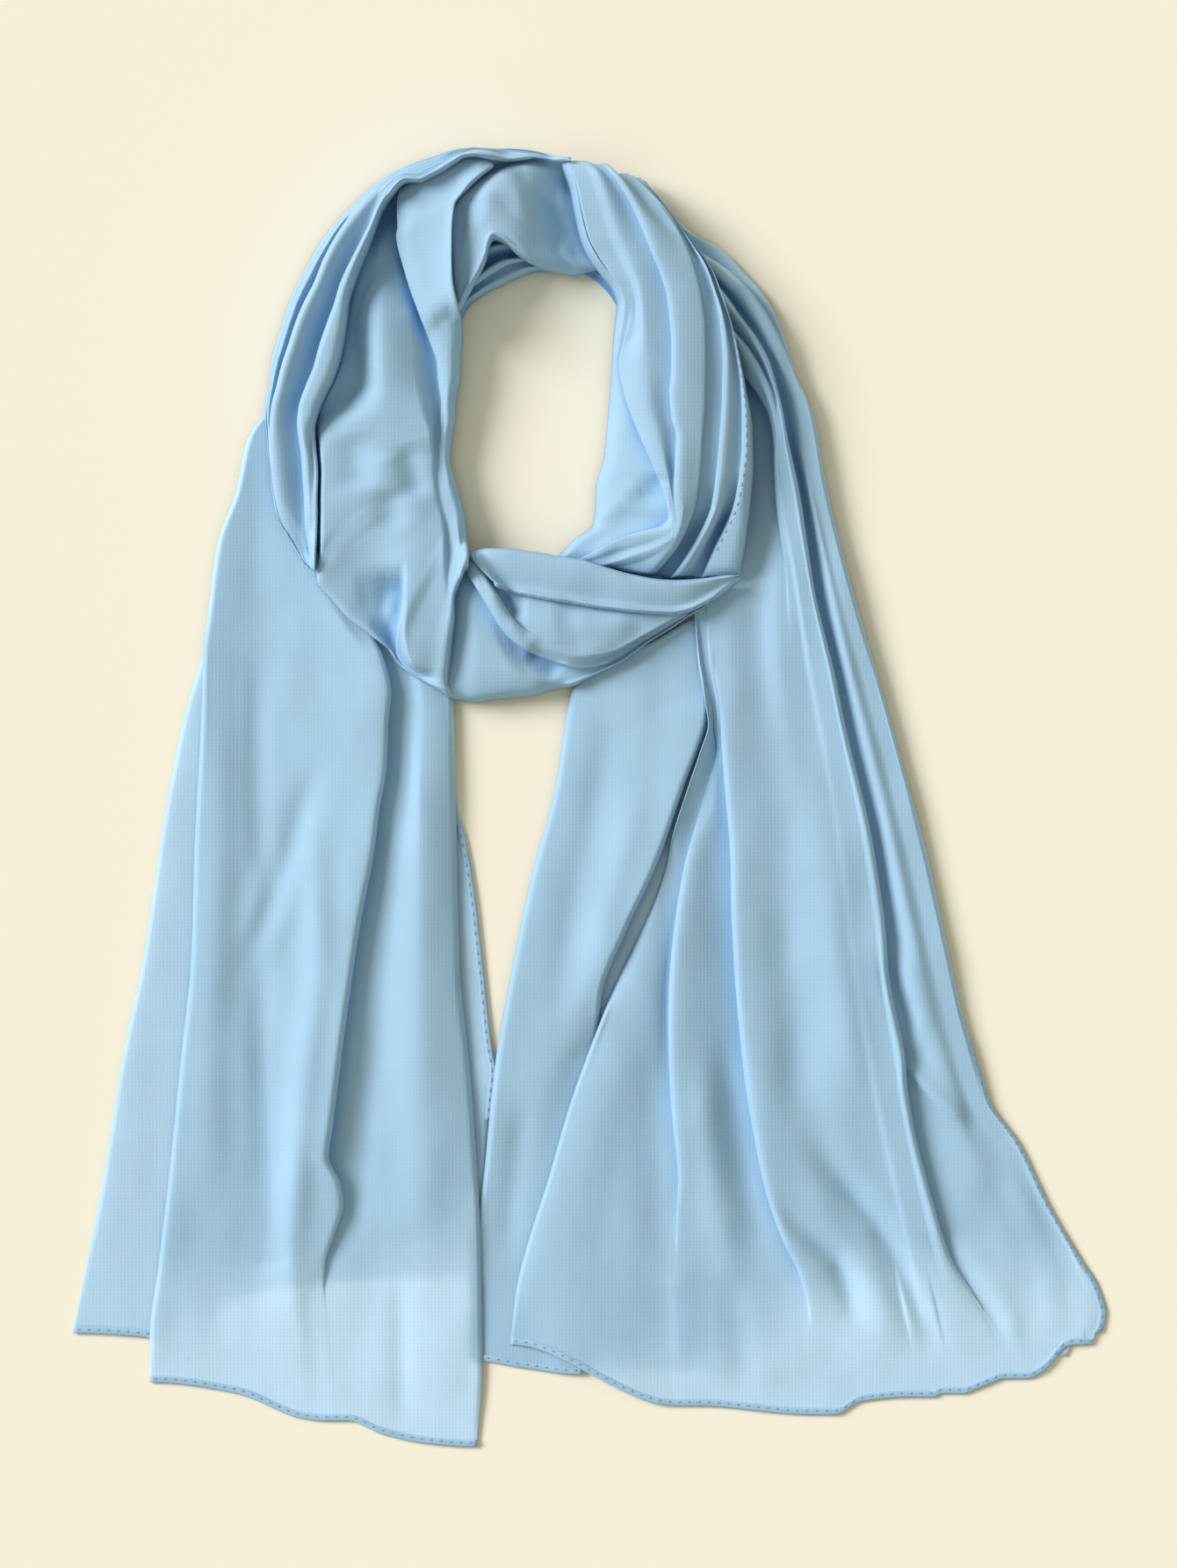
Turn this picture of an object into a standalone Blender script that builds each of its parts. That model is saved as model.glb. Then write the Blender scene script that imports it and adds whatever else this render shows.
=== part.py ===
"""A light chiffon scarf, laid flat as a neck loop with two hanging ends.

The plan is drawn in millimetres: X to the right, Y towards the loop, Z up from the surface it lies on.
Every stretch of cloth is a sheet woven between named lines: its edges, the crests and feet of its
folds, and the troughs between them. Sheets are laid one after another, each over all that lies below.
"""

import math

import bmesh
import bpy
import numpy as np
from mathutils import Matrix

for old in list(bpy.data.objects):
    bpy.data.objects.remove(old)

MM = 0.001
LENGTH_MM = 607.0
WIDTH_MM = 482.0
WALL = 1.3
LEAST_WALL = 0.8
GAP = 0.5
REACH = 3.0
SOFTEN = 3.0
LIFTS = 5
SOFT_CONTACT = 0.2
TOUCHING = 0.01
SIDEWAYS_SHARE = 0.35
TOP_BAND_SETTLE = 0.7
RASTER = 1.5
FOLDED_CELL = (10.0, 13.0)
PLAIN_CELL = (30.0, 20.0)
LEAST_STEP = 1.0
STEEPEST = 2.4
FULL_SWELLING_WIDTH = 12.0
CLOTH = (0.42, 0.66, 0.82, 1.0)

NECK = (-26.0, 180.0)
CORE_HEIGHT = 11.0
CORE_SECTIONS = 48
CORE_INNER_INSET = 7.0
CORE_OUTER_INSET = 15.0
CORE_LAYERS = 3
CORE_LAYER_INSET = 3.0
CORE_EDGE_RISE = 0.35
CORE_EDGE_ROUND = 1.5
CORE_EDGE_SLANT = 0.6

# angle from the neck opening's centre in degrees, then the loop's inner and outer radius in mm
RING_EDGES = (
    (0, 35.5, 101.0),
    (45, 54.0, 114.0),
    (70, 63.0, 117.0),
    (90, 64.0, 122.0),
    (110, 66.0, 127.0),
    (135, 47.0, 128.0),
    (180, 35.5, 125.0),
    (215, 45.0, 125.0),
    (243, 66.0, 130.0),
    (270, 64.0, 131.0),
    (300, 60.0, 121.0),
    (320, 44.0, 119.0),
)

# Each sheet: lines from left to right, or from the neck outwards. A line is a name, the offset of its
# twin line (the foot of a crest, or the shoulder of an edge), the swelling of the cloth up to the
# next line, and its route as x, y, height and the twin's height.
LEFT_TAIL_BACK = (
    ("left_edge", 2.5, 0.3, (
        (-146, 188, 1.4, 3), (-157, 169, 1.3, 3), (-163, 143, 1.3, 3), (-171, 121, 1.3, 3),
        (-177, 82, 1.3, 3), (-189, 39, 1.3, 3), (-198, -6, 1.3, 3), (-209, -78, 1.3, 3),
        (-217, -116, 1.3, 2.6), (-228, -183, 1.3, 2.4), (-241, -249, 1.3, 1.4))),
    ("left_middle", 0, 0, (
        (-138, 150, 2), (-160, 60, 2), (-176, -60, 2), (-190, -160, 1.6), (-206, -251, 1.3))),
    ("middle", 0, 0, (
        (-108, 95, 2), (-120, 0, 1.6), (-130, -120, 1.4), (-138, -227, 1.3))),
    ("right_edge", 0, 0, (
        (-74, 64, 2), (-66, 4, 1.6), (-59.5, -19, 1.6), (-55, -40, 1.6), (-50, -78, 1.6),
        (-46, -116, 1.6), (-44, -128, 1.6), (-45, -139, 1.4), (-52, -180, 1.3), (-58, -222, 1.3))),
)
LEFT_TAIL_FRONT = (
    ("left_fold", 2.5, 0, (
        (-146, 186, 3, 6), (-159, 169, 3, 6), (-165, 143, 3, 6), (-173, 121, 3, 6),
        (-178, 86, 3, 6), (-180, 70, 3, 6), (-181, 39, 3, 6), (-184, -19, 3, 5.5),
        (-186, -78, 3, 5.5), (-190, -116, 3, 5.5), (-196, -175, 3, 5), (-201, -218, 2.6, 4.5),
        (-205, -251, 2, 3), (-205, -272, 1.3, 1.5))),
    ("first_trough", 0, 0, (
        (-141, 160, 5), (-154, 120, 4.4), (-155, 59, 4), (-154, 2, 3.8), (-152, -40, 3.6),
        (-154, -72, 3.6), (-150, -182, 3.6), (-158, -240, 2.6), (-165, -277, 1.3))),
    ("first_ridge", 0, 0, (
        (-133, 133, 6), (-131, 60, 6.5), (-127, 2, 7.5), (-125, -79, 8.5), (-132, -123, 9),
        (-135, -152, 8.5), (-138, -211, 6.5), (-138, -227, 5), (-133, -289, 1.5))),
    ("main_fold", 2.5, 0, (
        (-108, 94, 7, 6.5), (-101, 78, 9, 5.5), (-95.5, 66, 11, 4.6),
        (-92, 50, 11, 4), (-93, 36, 11, 3.8), (-94, 16, 11, 3.6), (-97, -4, 11, 3.4),
        (-100, -26, 11, 3.2), (-106, -58, 11, 3), (-113, -106, 12, 3), (-119, -151, 12, 3),
        (-121, -167, 11, 3), (-115, -179, 10, 3.2), (-113, -189, 9, 3.4), (-118, -202, 8, 3.4),
        (-124, -223, 5, 3), (-118, -290, 1.6, 1.4))),
    ("main_trough", 0, 0, (
        (-92, 80, 6), (-85, 60, 5), (-84, 16, 4.6), (-89, -26, 4.2), (-97, -80, 3.4),
        (-105, -130, 3), (-107, -165, 3.2), (-101, -195, 3.6), (-98, -240, 2.8), (-97, -296, 1.3))),
    ("right_ridge", 0, 0, (
        (-80, 70, 7), (-76, 40, 7.5), (-78, 2, 8.5), (-77, -80, 8), (-75, -175, 7),
        (-77, -240, 4), (-79, -300, 1.5))),
    ("right_edge", -2.5, 0, (
        (-66, 61, 3.2, 6), (-63, 46, 3, 6), (-62, 2, 3, 6), (-61, -40, 3, 6), (-60, -79, 3, 6),
        (-56, -119, 3, 6), (-52.5, -163, 3, 6), (-50.4, -207, 3, 5), (-49.6, -265, 2.6, 4),
        (-52, -302, 1.3, 1.6))),
)
RIGHT_TAIL_BACK = (
    ("left_edge", 0, 0, (
        (64, 88, 2), (48, 20, 1.4), (26, -50, 1.4), (0, -130, 1.4), (-10, -200, 1.3), (-8, -268, 1.3))),
    ("middle", 0, 0, ((75, 150, 2), (84, 0, 1.6), (80, -120, 1.5), (60, -267, 1.3))),
    ("right_edge", -2.5, 0, (
        (72, 240, 1.8, 2), (90, 216, 1.6, 2), (104, 187, 1.5, 2), (108, 165, 1.5, 2),
        (111, 143, 1.5, 2), (125, 84, 1.5, 2), (141, 28, 1.5, 2), (154, -20, 1.5, 2),
        (168, -85, 1.5, 2), (170, -150, 1.5, 2), (150, -267, 1.3, 1.4))),
)
RIGHT_TAIL_PANEL = (
    ("left_edge", 2.5, 0, (
        (-3, 64, 3.2, 6), (-8, 51, 3, 6), (-16, 4, 3, 6), (-27, -37, 3, 6), (-36, -80, 3, 6),
        (-43, -119, 3, 5.5), (-46, -145, 2.6, 5), (-49, -175, 2, 4), (-51, -189, 1.6, 3),
        (-54, -225, 1.3, 1.8), (-54, -262, 1.3, 1.4))),
    ("swell", 0, 0, (
        (26, 72, 7), (24, 40, 7.5), (14, 0, 7.5), (0, -60, 7.5), (-14, -110, 6.5),
        (-28, -165, 3.5), (-32, -220, 1.8), (-32, -265, 1.3))),
    ("right_fold", -2.5, 0, (
        (59, 86, 3, 5), (60, 62, 3, 6), (56.2, 39, 5, 9), (44.7, 5.3, 6, 10), (32.4, -29.5, 6, 10),
        (17.2, -62.7, 6, 10), (3.7, -90.2, 4.5, 8), (0.8, -110, 2.5, 4), (-4, -122, 1.6, 2.4),
        (-10, -170, 1.3, 1.5), (-9, -230, 1.3, 1.4), (-6, -268, 1.3, 1.4))),
)
RIGHT_TAIL_FRONT = (
    ("left_edge", 2.2, 2.5, (
        (55, 90, 6, 8), (53.5, 76, 5, 8), (53.5, 61, 5, 9), (55.5, 48, 5, 9), (57, 37, 3.4, 7),
        (52.5, 22, 2.6, 4), (46.5, 5, 2.6, 4), (39.5, -17, 2.6, 4), (36, -32, 2.6, 4),
        (29.5, -51, 2.6, 4.4), (20.5, -70, 2.6, 5), (12.7, -86, 2.6, 5.5), (6.6, -101, 2.8, 6),
        (-0.8, -120, 3, 6.5), (-8.6, -142, 3, 6.5), (-19.7, -180, 3, 6), (-27.5, -204, 2.8, 5.5),
        (-33.6, -228, 2.4, 4.6), (-35.3, -242, 2, 3), (-36.5, -254, 1.3, 1.5))),
    ("left_trough_fold", -2.5, 0, (
        (61, 94, 8, 8), (61, 61, 9, 9), (62, 48, 9, 9), (62, 37, 7, 7), (58.5, 22, 5, 4),
        (53, 5, 4.5, 4), (47.5, -17, 5, 4), (44, -34, 6.5, 4), (39.5, -64, 8, 3.4),
        (37.5, -90, 8, 3.2), (37.5, -118, 8, 3.2), (39, -148, 8, 3.2), (42, -175, 7, 3.4),
        (41, -198, 5.5, 3.6), (45, -283, 1.5, 1.4))),
    ("main_fold", -2.5, 0, (
        (66, 104, 9, 8), (67, 61, 10, 9), (67, 48, 10, 8), (64, 25, 10, 4), (65.2, -20, 11, 3.6),
        (66.8, -60, 11, 3.4), (69.7, -102, 11, 3.2), (75, -146, 11, 3.2), (83.6, -187, 10, 3.2),
        (89.8, -204, 9, 3.4), (97.6, -220, 7, 3.4), (101.7, -232, 5.5, 3.2), (109, -287, 1.6, 1.4))),
    ("right_swell", 0, 0, (
        (70, 135, 9), (80, 62, 9), (90, 0, 9), (97, -80, 9), (107, -146, 8), (118, -200, 6),
        (128, -281, 1.4))),
    ("outer_fold", 2.5, 0, (
        (60, 239, 6, 5), (79, 214, 9, 6), (85, 202, 10, 5), (88.6, 188, 11, 4.5), (93.5, 164, 11, 4),
        (97.2, 148, 11, 4), (102, 118, 11, 3.8), (106.6, 91, 11, 3.6), (114, 61.5, 11, 3.6),
        (119.7, 34, 10.5, 3.6), (130.4, -10, 10, 3.4), (137.4, -51, 10, 3), (141, -87, 11, 2.8),
        (147, -118, 11, 2.8), (149, -136, 11, 3), (155, -167, 10, 3), (163.6, -198, 9, 3),
        (168.9, -213, 8, 3), (179, -230, 6, 3), (193, -252, 3.5, 2.6), (199, -270, 1.6, 1.4))),
    ("outer_swell", 0, 0, (
        (68, 241, 7), (77, 229, 8), (90, 208, 8), (97, 190, 8), (103, 160, 8), (113, 110, 8),
        (124, 62, 8), (138, 0, 8), (152, -60, 8), (163, -110, 7), (180, -165, 5), (200, -215, 3.5),
        (214, -266, 1.4))),
    ("outer_edge", -2.5, 0, (
        (53, 262, 3, 5), (64.8, 256.7, 3, 6), (73.4, 245.6, 3, 6), (81.2, 238, 3, 6),
        (87.3, 227, 3, 6), (92.3, 209.5, 3, 6), (101.7, 188.6, 3, 6), (105.8, 177, 3, 6),
        (110.3, 152, 3, 6), (114.8, 132, 3, 6), (125, 93.5, 3, 6), (135.3, 58, 3, 6),
        (149.2, 8, 3, 6), (156.2, -17, 3, 6), (166.9, -64, 3, 6), (176.3, -105, 3, 5.5),
        (186.6, -140, 2.4, 4), (200.9, -161, 1.6, 2.4), (214.8, -190, 1.4, 2), (230.4, -216, 1.4, 2),
        (237.8, -228, 1.3, 1.6), (241, -238, 1.3, 1.5), (239.9, -248.5, 1.3, 1.4))),
)
RING_TWIST = (
    ("inner_edge", 2.5, 2, (
        (-59, 227, 5, 10), (-55.8, 233.7, 6, 12), (-52.5, 241.5, 7, 13), (-48.4, 250, 8, 14),
        (-45.5, 257, 8, 15), (-41.8, 258.3, 8, 15), (-34.9, 254.6, 7, 14), (-28.3, 249, 6, 13),
        (-17.6, 245.6, 5, 12), (-8.6, 244.8, 5, 12), (0, 246.4, 5, 12), (7, 246, 5, 11))),
    ("ridge", 0, 0, (
        (-60.5, 244, 14), (-52, 264, 20), (-35, 268, 19), (-18, 264, 21), (0, 262, 16))),
    ("trough", 0, 0, (
        (-61.5, 257, 14), (-50, 274, 18), (-35, 275, 16), (-20, 273, 18), (-2, 272, 13))),
    ("outer_swell", 0, 0, (
        (-62, 265, 13), (-49, 282, 16), (-30, 288, 18), (-16, 288, 18), (-4, 284, 13))),
    ("outer_edge", -2.5, 0, (
        (-62.3, 272, 5, 10), (-55.8, 281, 5, 11), (-48.4, 288.6, 5, 12), (-39.4, 295, 5, 12),
        (-28.3, 299, 4, 11), (-17.6, 300, 3, 10), (-8.6, 298, 3, 10), (-3, 296, 3, 9))),
)
RING_RIGHT_ARM = (
    ("inner_edge", 0, 0, (
        (-9.5, 272, 15), (-6, 260, 13), (-1.5, 251, 10), (4, 244, 7), (11.1, 236, 4), (13.1, 230.4, 4),
        (12.3, 222, 4), (11.1, 214, 4), (10.7, 202, 4), (9.4, 184, 4), (7, 160, 4), (3.3, 145.6, 4),
        (2.9, 135.7, 4), (2, 128.7, 4), (-2.5, 122.6, 5), (-9.8, 118, 5), (-17, 112, 4))),
    ("under_fold", -2.4, 1, (
        (-8, 278, 18, 16), (-0.5, 263, 17, 14), (4, 254, 16, 12), (9.5, 247, 15, 11), (15.5, 239, 15, 9),
        (17.5, 231, 15, 9), (16.5, 222, 15, 9), (15, 214, 16, 9), (15, 202, 17, 10),
        (17.5, 188, 18, 12), (22.5, 170.6, 19, 13), (28.7, 156.2, 20, 14), (32, 145.6, 20, 14),
        (32.5, 137.5, 20, 15), (30, 131, 20, 16), (25, 126.5, 20, 16), (17.6, 122.8, 19, 15),
        (8.2, 117.2, 16, 12), (-1, 110.7, 10, 9))),
    ("panel_swell", 0, 0, (
        (-9.5, 282, 18), (5, 265, 20), (16, 252, 21), (22, 238, 22), (25, 215, 23), (27, 185, 23),
        (31, 162, 22), (35.5, 147, 21.5), (36.5, 137, 21), (34.5, 126, 19), (24, 110, 10))),
    ("second_fold", 2.2, 0, (
        (-12.5, 290, 10, 9), (6.6, 290, 14, 12), (13.1, 285, 18, 14), (18.9, 276.3, 20, 15),
        (24.2, 264.5, 21, 16), (28.7, 253.4, 21, 16), (33.2, 241.5, 21, 16), (36.1, 226.7, 21, 16),
        (37.7, 215, 21, 16), (37.3, 202, 21, 16), (38.1, 174.3, 21, 16), (39.4, 156.2, 21, 16),
        (40.5, 144.3, 21, 16), (41, 133, 20, 16), (39, 118, 18, 15), (34, 104, 9, 9))),
    ("third_fold", 2.2, 0, (
        (-12.4, 292, 9, 8), (8, 290, 12, 10), (24.2, 284, 15, 12), (37.3, 269, 18, 14),
        (47.2, 249, 19, 14), (51.7, 233.7, 19, 14), (53.7, 219.4, 19, 14), (53.7, 184, 19, 14),
        (51.3, 148, 19, 14), (47.5, 125, 17, 14), (41, 104, 9, 9))),
    ("fourth_fold", 2.2, 0, (
        (-12.3, 294, 8, 7), (10, 290.5, 10, 9), (36.9, 273, 14, 12), (53.3, 250, 17, 13),
        (58.6, 238, 17, 13), (61.5, 202, 17, 13), (60.3, 166, 17, 13), (55, 130, 15, 12),
        (47, 105, 9, 9))),
    ("hem_fold", 2.2, 0, (
        (-12.2, 296, 7, 6), (12, 291, 9, 8), (40, 273, 12, 11), (59.9, 244, 14, 11),
        (68.1, 206, 14, 10), (70.5, 178, 14, 10), (69.3, 148, 14, 10), (62.8, 122.6, 12, 9),
        (55, 104, 8.5, 8))),
    ("outer_edge", -2, 0, (
        (-12, 298.5, 3, 6), (4.5, 294.8, 3, 7), (15.6, 292, 3, 7), (32, 282, 3, 8),
        (48.4, 265.7, 3, 9), (59, 253, 4, 9), (65, 236, 5, 9), (68.5, 219, 6, 10),
        (74.2, 188, 6, 10), (76.7, 156, 6, 10), (74.2, 130, 6, 9), (70.5, 107, 6, 8),
        (67.5, 99, 6, 7))),
)
RING_CROSSING = (
    ("inner_edge", 0, 1, (
        (-61, 119, 10), (-55.3, 116.4, 10), (-45, 117.3, 10), (-34, 116.9, 10), (-23, 115.2, 10),
        (-14.3, 113.6, 10), (-3.3, 112.3, 10), (9.8, 107.8, 10), (20.9, 105, 10), (32, 102.9, 10),
        (46, 103, 9), (57.5, 103.2, 8))),
    ("strip_fold", 2.0, 0, (
        (-60.5, 114, 14, 13), (-55.4, 111, 16, 14), (-49.2, 101, 20, 16), (-42.6, 91.8, 21, 16),
        (-37.3, 82, 21, 15), (-30.8, 73, 20, 13), (-23, 69.5, 19, 12), (-11.9, 66.5, 18, 12),
        (-3.3, 67, 17, 12), (5.7, 69, 16, 12), (28.7, 83.5, 14, 12), (37, 89, 13, 11.5),
        (56, 99.3, 9, 9))),
    ("second_fold", 2.0, 0, (
        (-61.5, 106, 14, 13), (-55.8, 104, 17, 14), (-50.4, 94, 19, 15), (-43.9, 83, 20, 15),
        (-38.5, 75.5, 20, 14), (-32, 67, 19, 13), (-26.2, 62, 17, 12), (-19, 60, 14, 11),
        (-4.1, 61, 12, 10), (10, 66.5, 11, 9), (28.7, 79, 10, 9), (36, 84, 10, 9.5),
        (54.5, 95.6, 8.5, 8.5))),
    ("outer_edge", -2.5, 0, (
        (-72, 54, 3, 10), (-64.4, 48, 3, 10), (-57.4, 45.5, 3, 10), (-44.7, 46.7, 3, 10),
        (-32.8, 47.6, 3, 10), (-25.4, 48.4, 3, 10), (-16.4, 51.3, 3, 10), (-7.8, 52.5, 3, 10),
        (-1.2, 55.8, 3, 9), (7.8, 60.7, 3, 9), (15.6, 64, 3, 9), (26.2, 72.2, 3, 9),
        (37.3, 78.7, 3, 9), (53, 91, 4, 8))),
)
RING_HEM_BAND = (
    ("inner_edge", 2, 0.6, (
        (-51, 115.8, 14, 17), (-45, 116.6, 14, 17), (-34, 116.3, 14, 17), (-23, 114.6, 14, 17),
        (-14.3, 113, 14, 17), (-3.3, 111.6, 14, 17), (9.8, 107.3, 14, 17), (20.9, 104.6, 14, 16),
        (32, 103, 13, 15), (46, 103, 12, 13.5), (58, 103.2, 11.5, 12.5))),
    ("outer_edge", -2, 0, (
        (-43, 100.9, 17, 18), (-34, 97.6, 16, 17.5), (-23, 94.7, 15, 17), (-11.9, 92.3, 15, 17),
        (-1.2, 91.4, 15, 17), (9.8, 89.8, 14, 16), (20.9, 88.2, 14, 15), (32, 87.5, 13, 14),
        (40.6, 88.4, 12, 13), (48.4, 90.6, 12, 13), (56, 93.5, 11, 12))),
)
RING_LEFT_ARM = (
    ("inner_edge", 2.5, 1, (
        (-61, 286, 12, 16), (-61.9, 276.3, 14, 20), (-62.7, 263.2, 14, 21),
        (-62.3, 247.2, 12, 20), (-60.5, 232, 8, 16), (-59, 222.6, 6, 13), (-59.8, 200, 4, 12),
        (-61.1, 180, 4, 12), (-62.7, 169, 4, 13), (-64, 156.2, 4, 13), (-61.1, 146.8, 4, 13),
        (-57.4, 132.4, 4, 13), (-55.8, 119.3, 6, 15), (-55.8, 114, 14, 18))),
    ("strip_fold", 2.5, 0, (
        (-72, 290.5, 14, 13), (-84.5, 282.5, 17, 13), (-80.8, 266.5, 20, 13), (-76.3, 249.3, 20, 13),
        (-72.6, 234.5, 19, 13), (-70.9, 220.6, 17, 13), (-70.9, 206.6, 15, 13), (-69.7, 193.5, 14, 12.5),
        (-67, 183, 13, 12.5), (-68, 160, 14, 13.5), (-64, 140, 15, 15), (-60.5, 122, 17, 17),
        (-57.5, 106, 21, 21))),
    ("trough", 0, 0, (
        (-74, 290.8, 13), (-88.5, 279, 12), (-87, 262, 12.5), (-83, 246, 14), (-79, 228, 15),
        (-77, 205, 15), (-76, 188, 15), (-74, 172, 16), (-70, 150, 17), (-66, 130, 18),
        (-58.5, 98, 21))),
    ("body_swell", 0, 0, (
        (-75.5, 291.3, 12), (-92, 277, 13), (-99, 255, 17), (-103, 238, 20), (-105, 220, 22),
        (-106, 195, 22), (-106, 165, 22), (-102, 135, 22), (-88, 110, 23), (-74, 95, 23),
        (-60.5, 88, 22))),
    ("inner_pleat", -2.2, 2, (
        (-76.5, 292.2, 12, 12), (-90.2, 282, 15, 13), (-96, 274, 18, 14), (-102, 256, 19, 16),
        (-107.4, 240.7, 20, 17), (-111.5, 220.6, 21, 18), (-114, 205, 21, 17), (-117, 196, 21, 17),
        (-124, 178.8, 20, 17), (-123.8, 168, 20, 17), (-123, 156, 20, 17), (-123.4, 136, 19, 17),
        (-123, 118.5, 17, 16), (-117, 97, 14, 14), (-102.5, 82, 14, 14), (-83, 68, 13, 13),
        (-64, 68, 14, 14))),
    ("second_pleat", 2.2, 1.5, (
        (-77, 293, 12, 11), (-87, 286, 14, 12), (-94, 279, 16, 12), (-103, 265, 17, 13),
        (-114.8, 240, 18, 14), (-122.6, 216, 18, 14), (-130.8, 191.5, 17, 13), (-134.5, 172, 16, 12),
        (-132.4, 144, 16, 12), (-131.5, 127, 15, 12), (-129, 112, 12, 10), (-119, 97.5, 10, 9),
        (-102, 78, 10, 9), (-84, 63, 10, 9), (-65, 58, 11, 10))),
    ("third_pleat", 2, 1, (
        (-77.3, 294.2, 11, 10), (-92, 286.5, 12, 10), (-106.2, 273, 14, 11), (-122.6, 249, 14, 10),
        (-134.1, 225.9, 13, 9), (-142.7, 202, 12, 8), (-145, 182, 11, 8), (-144, 160, 11, 8),
        (-141, 138, 11, 8), (-135.5, 120, 10, 8), (-122, 97, 9, 8), (-104, 77.5, 9, 8),
        (-85, 61.5, 9, 8), (-65.2, 55, 9, 8))),
    ("outer_edge", -2, 0, (
        (-78, 298, 4, 9), (-87, 294, 3, 8), (-98.8, 288, 3, 8), (-108.7, 279, 3, 8),
        (-116.9, 271, 3, 8), (-124.6, 261, 3, 8), (-130.8, 250, 3, 8), (-136.1, 240, 3, 7),
        (-140.6, 230, 3, 7), (-144.7, 217, 3, 7), (-148, 206, 3, 7), (-150.9, 183, 3, 7),
        (-148.8, 154, 3, 7), (-147.2, 141, 3, 7), (-144.3, 129, 3, 7), (-138.2, 119.3, 3, 7),
        (-132, 112, 3, 7), (-126.7, 102, 3, 7), (-120.1, 93.5, 3, 7), (-109.5, 80.4, 3, 7),
        (-100.9, 73.4, 3, 7), (-91, 67.2, 3, 7), (-86.5, 60.7, 3, 7), (-80.4, 56.6, 3, 7),
        (-71.3, 52.5, 3, 7), (-65.6, 50, 3, 7))),
)
RING_TOP_BAND = (
    ("inner_edge", 2, 0.6, (
        (-103, 279, 14, 17), (-96, 284.5, 14, 18), (-86, 286, 14, 18), (-76.7, 285.4, 14, 18),
        (-69, 289, 14, 18), (-61.5, 294, 14, 18), (-52, 299.8, 14, 18), (-40, 299, 13, 16),
        (-25, 299.6, 12, 14))),
    ("outer_edge", -2, 0, (
        (-107.5, 281.5, 9, 13), (-98.8, 289, 8, 13), (-86.9, 295.5, 7, 13), (-74.2, 300, 6, 13),
        (-61.5, 303.2, 5, 13), (-47.6, 304, 4, 12), (-31.2, 304, 4, 11), (-22, 303, 4, 9))),
)


def smooth_through(knots, values, places):
    """Monotone cubic through the knots, so that a fold keeps its crest and never overshoots it."""
    knots = np.asarray(knots, float)
    values = np.asarray(values, float)
    steps = np.diff(knots)
    slopes = np.diff(values) / steps
    tangents = np.empty(len(knots))
    tangents[0] = slopes[0]
    tangents[-1] = slopes[-1]
    for i in range(1, len(knots) - 1):
        if slopes[i - 1] * slopes[i] <= 0:
            tangents[i] = 0
        else:
            before = 2 * steps[i] + steps[i - 1]
            after = steps[i] + 2 * steps[i - 1]
            tangents[i] = (before + after) / (before / slopes[i - 1] + after / slopes[i])
    places = np.clip(places, knots[0], knots[-1])
    i = np.clip(np.searchsorted(knots, places, "right") - 1, 0, len(knots) - 2)
    t = (places - knots[i]) / steps[i]
    start = (1 + 2 * t) * (1 - t) ** 2 * values[i] + t * (1 - t) ** 2 * steps[i] * tangents[i]
    end = t * t * (3 - 2 * t) * values[i + 1] + t * t * (t - 1) * steps[i] * tangents[i + 1]
    return start + end


class Hanging:
    """Plan of a hanging end: stations run down the cloth, places run across it to the right."""

    def __init__(self, shear=0.0):
        self.shear = shear

    def from_plan(self, x, y):
        return -y, x + self.shear * y

    def to_plan(self, station, across):
        return across + self.shear * station, -station


class Around:
    """Plan of a stretch of the loop: stations turn about the neck opening, places run outwards."""

    def __init__(self, first_angle, turn):
        self.first_angle = first_angle
        self.turn = turn

    def from_plan(self, x, y):
        angle = np.degrees(np.arctan2(y - NECK[1], x - NECK[0]))
        station = (self.turn * (angle - self.first_angle)) % 360
        return station, np.hypot(x - NECK[0], y - NECK[1])

    def to_plan(self, station, across):
        angle = np.radians(self.first_angle + self.turn * station)
        return NECK[0] + across * np.cos(angle), NECK[1] + across * np.sin(angle)


def line_curves(plan, lines):
    """Each line, and its twin, as stations, places across and heights."""
    curves = []
    for name, offset, swelling, route in lines:
        points = np.array([point[:3] for point in route], float)
        stations, across = plan.from_plan(points[:, 0], points[:, 1])
        if (np.diff(stations) <= 0).any():
            raise ValueError(f"{name} turns back at {np.where(np.diff(stations) <= 0)[0]}")
        main = (stations, across, points[:, 2])
        if not offset:
            curves.append((main, swelling))
            continue
        twin = (stations, across + offset, np.array([point[3] for point in route], float))
        if offset > 0:
            curves.append((main, 0))
            curves.append((twin, swelling))
        else:
            curves.append((twin, 0))
            curves.append((main, swelling))
    return curves


def spread(across):
    """Keeps neighbouring lines a least step apart, with the two edges where they are."""
    across = across.copy()
    for i in range(1, len(across) - 1):
        across[i] = max(across[i], across[i - 1] + LEAST_STEP)
    for i in range(len(across) - 2, 0, -1):
        across[i] = min(across[i], across[i + 1] - LEAST_STEP)
    return across


def ease(across, heights):
    """Lowers a line that stands too steeply above its neighbours."""
    heights = heights.copy()
    for order in (range(1, len(across)), range(len(across) - 2, -1, -1)):
        for i in order:
            k = i - order.step
            heights[i] = min(heights[i], heights[k] + STEEPEST * abs(across[i] - across[k]))
    return heights


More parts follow.
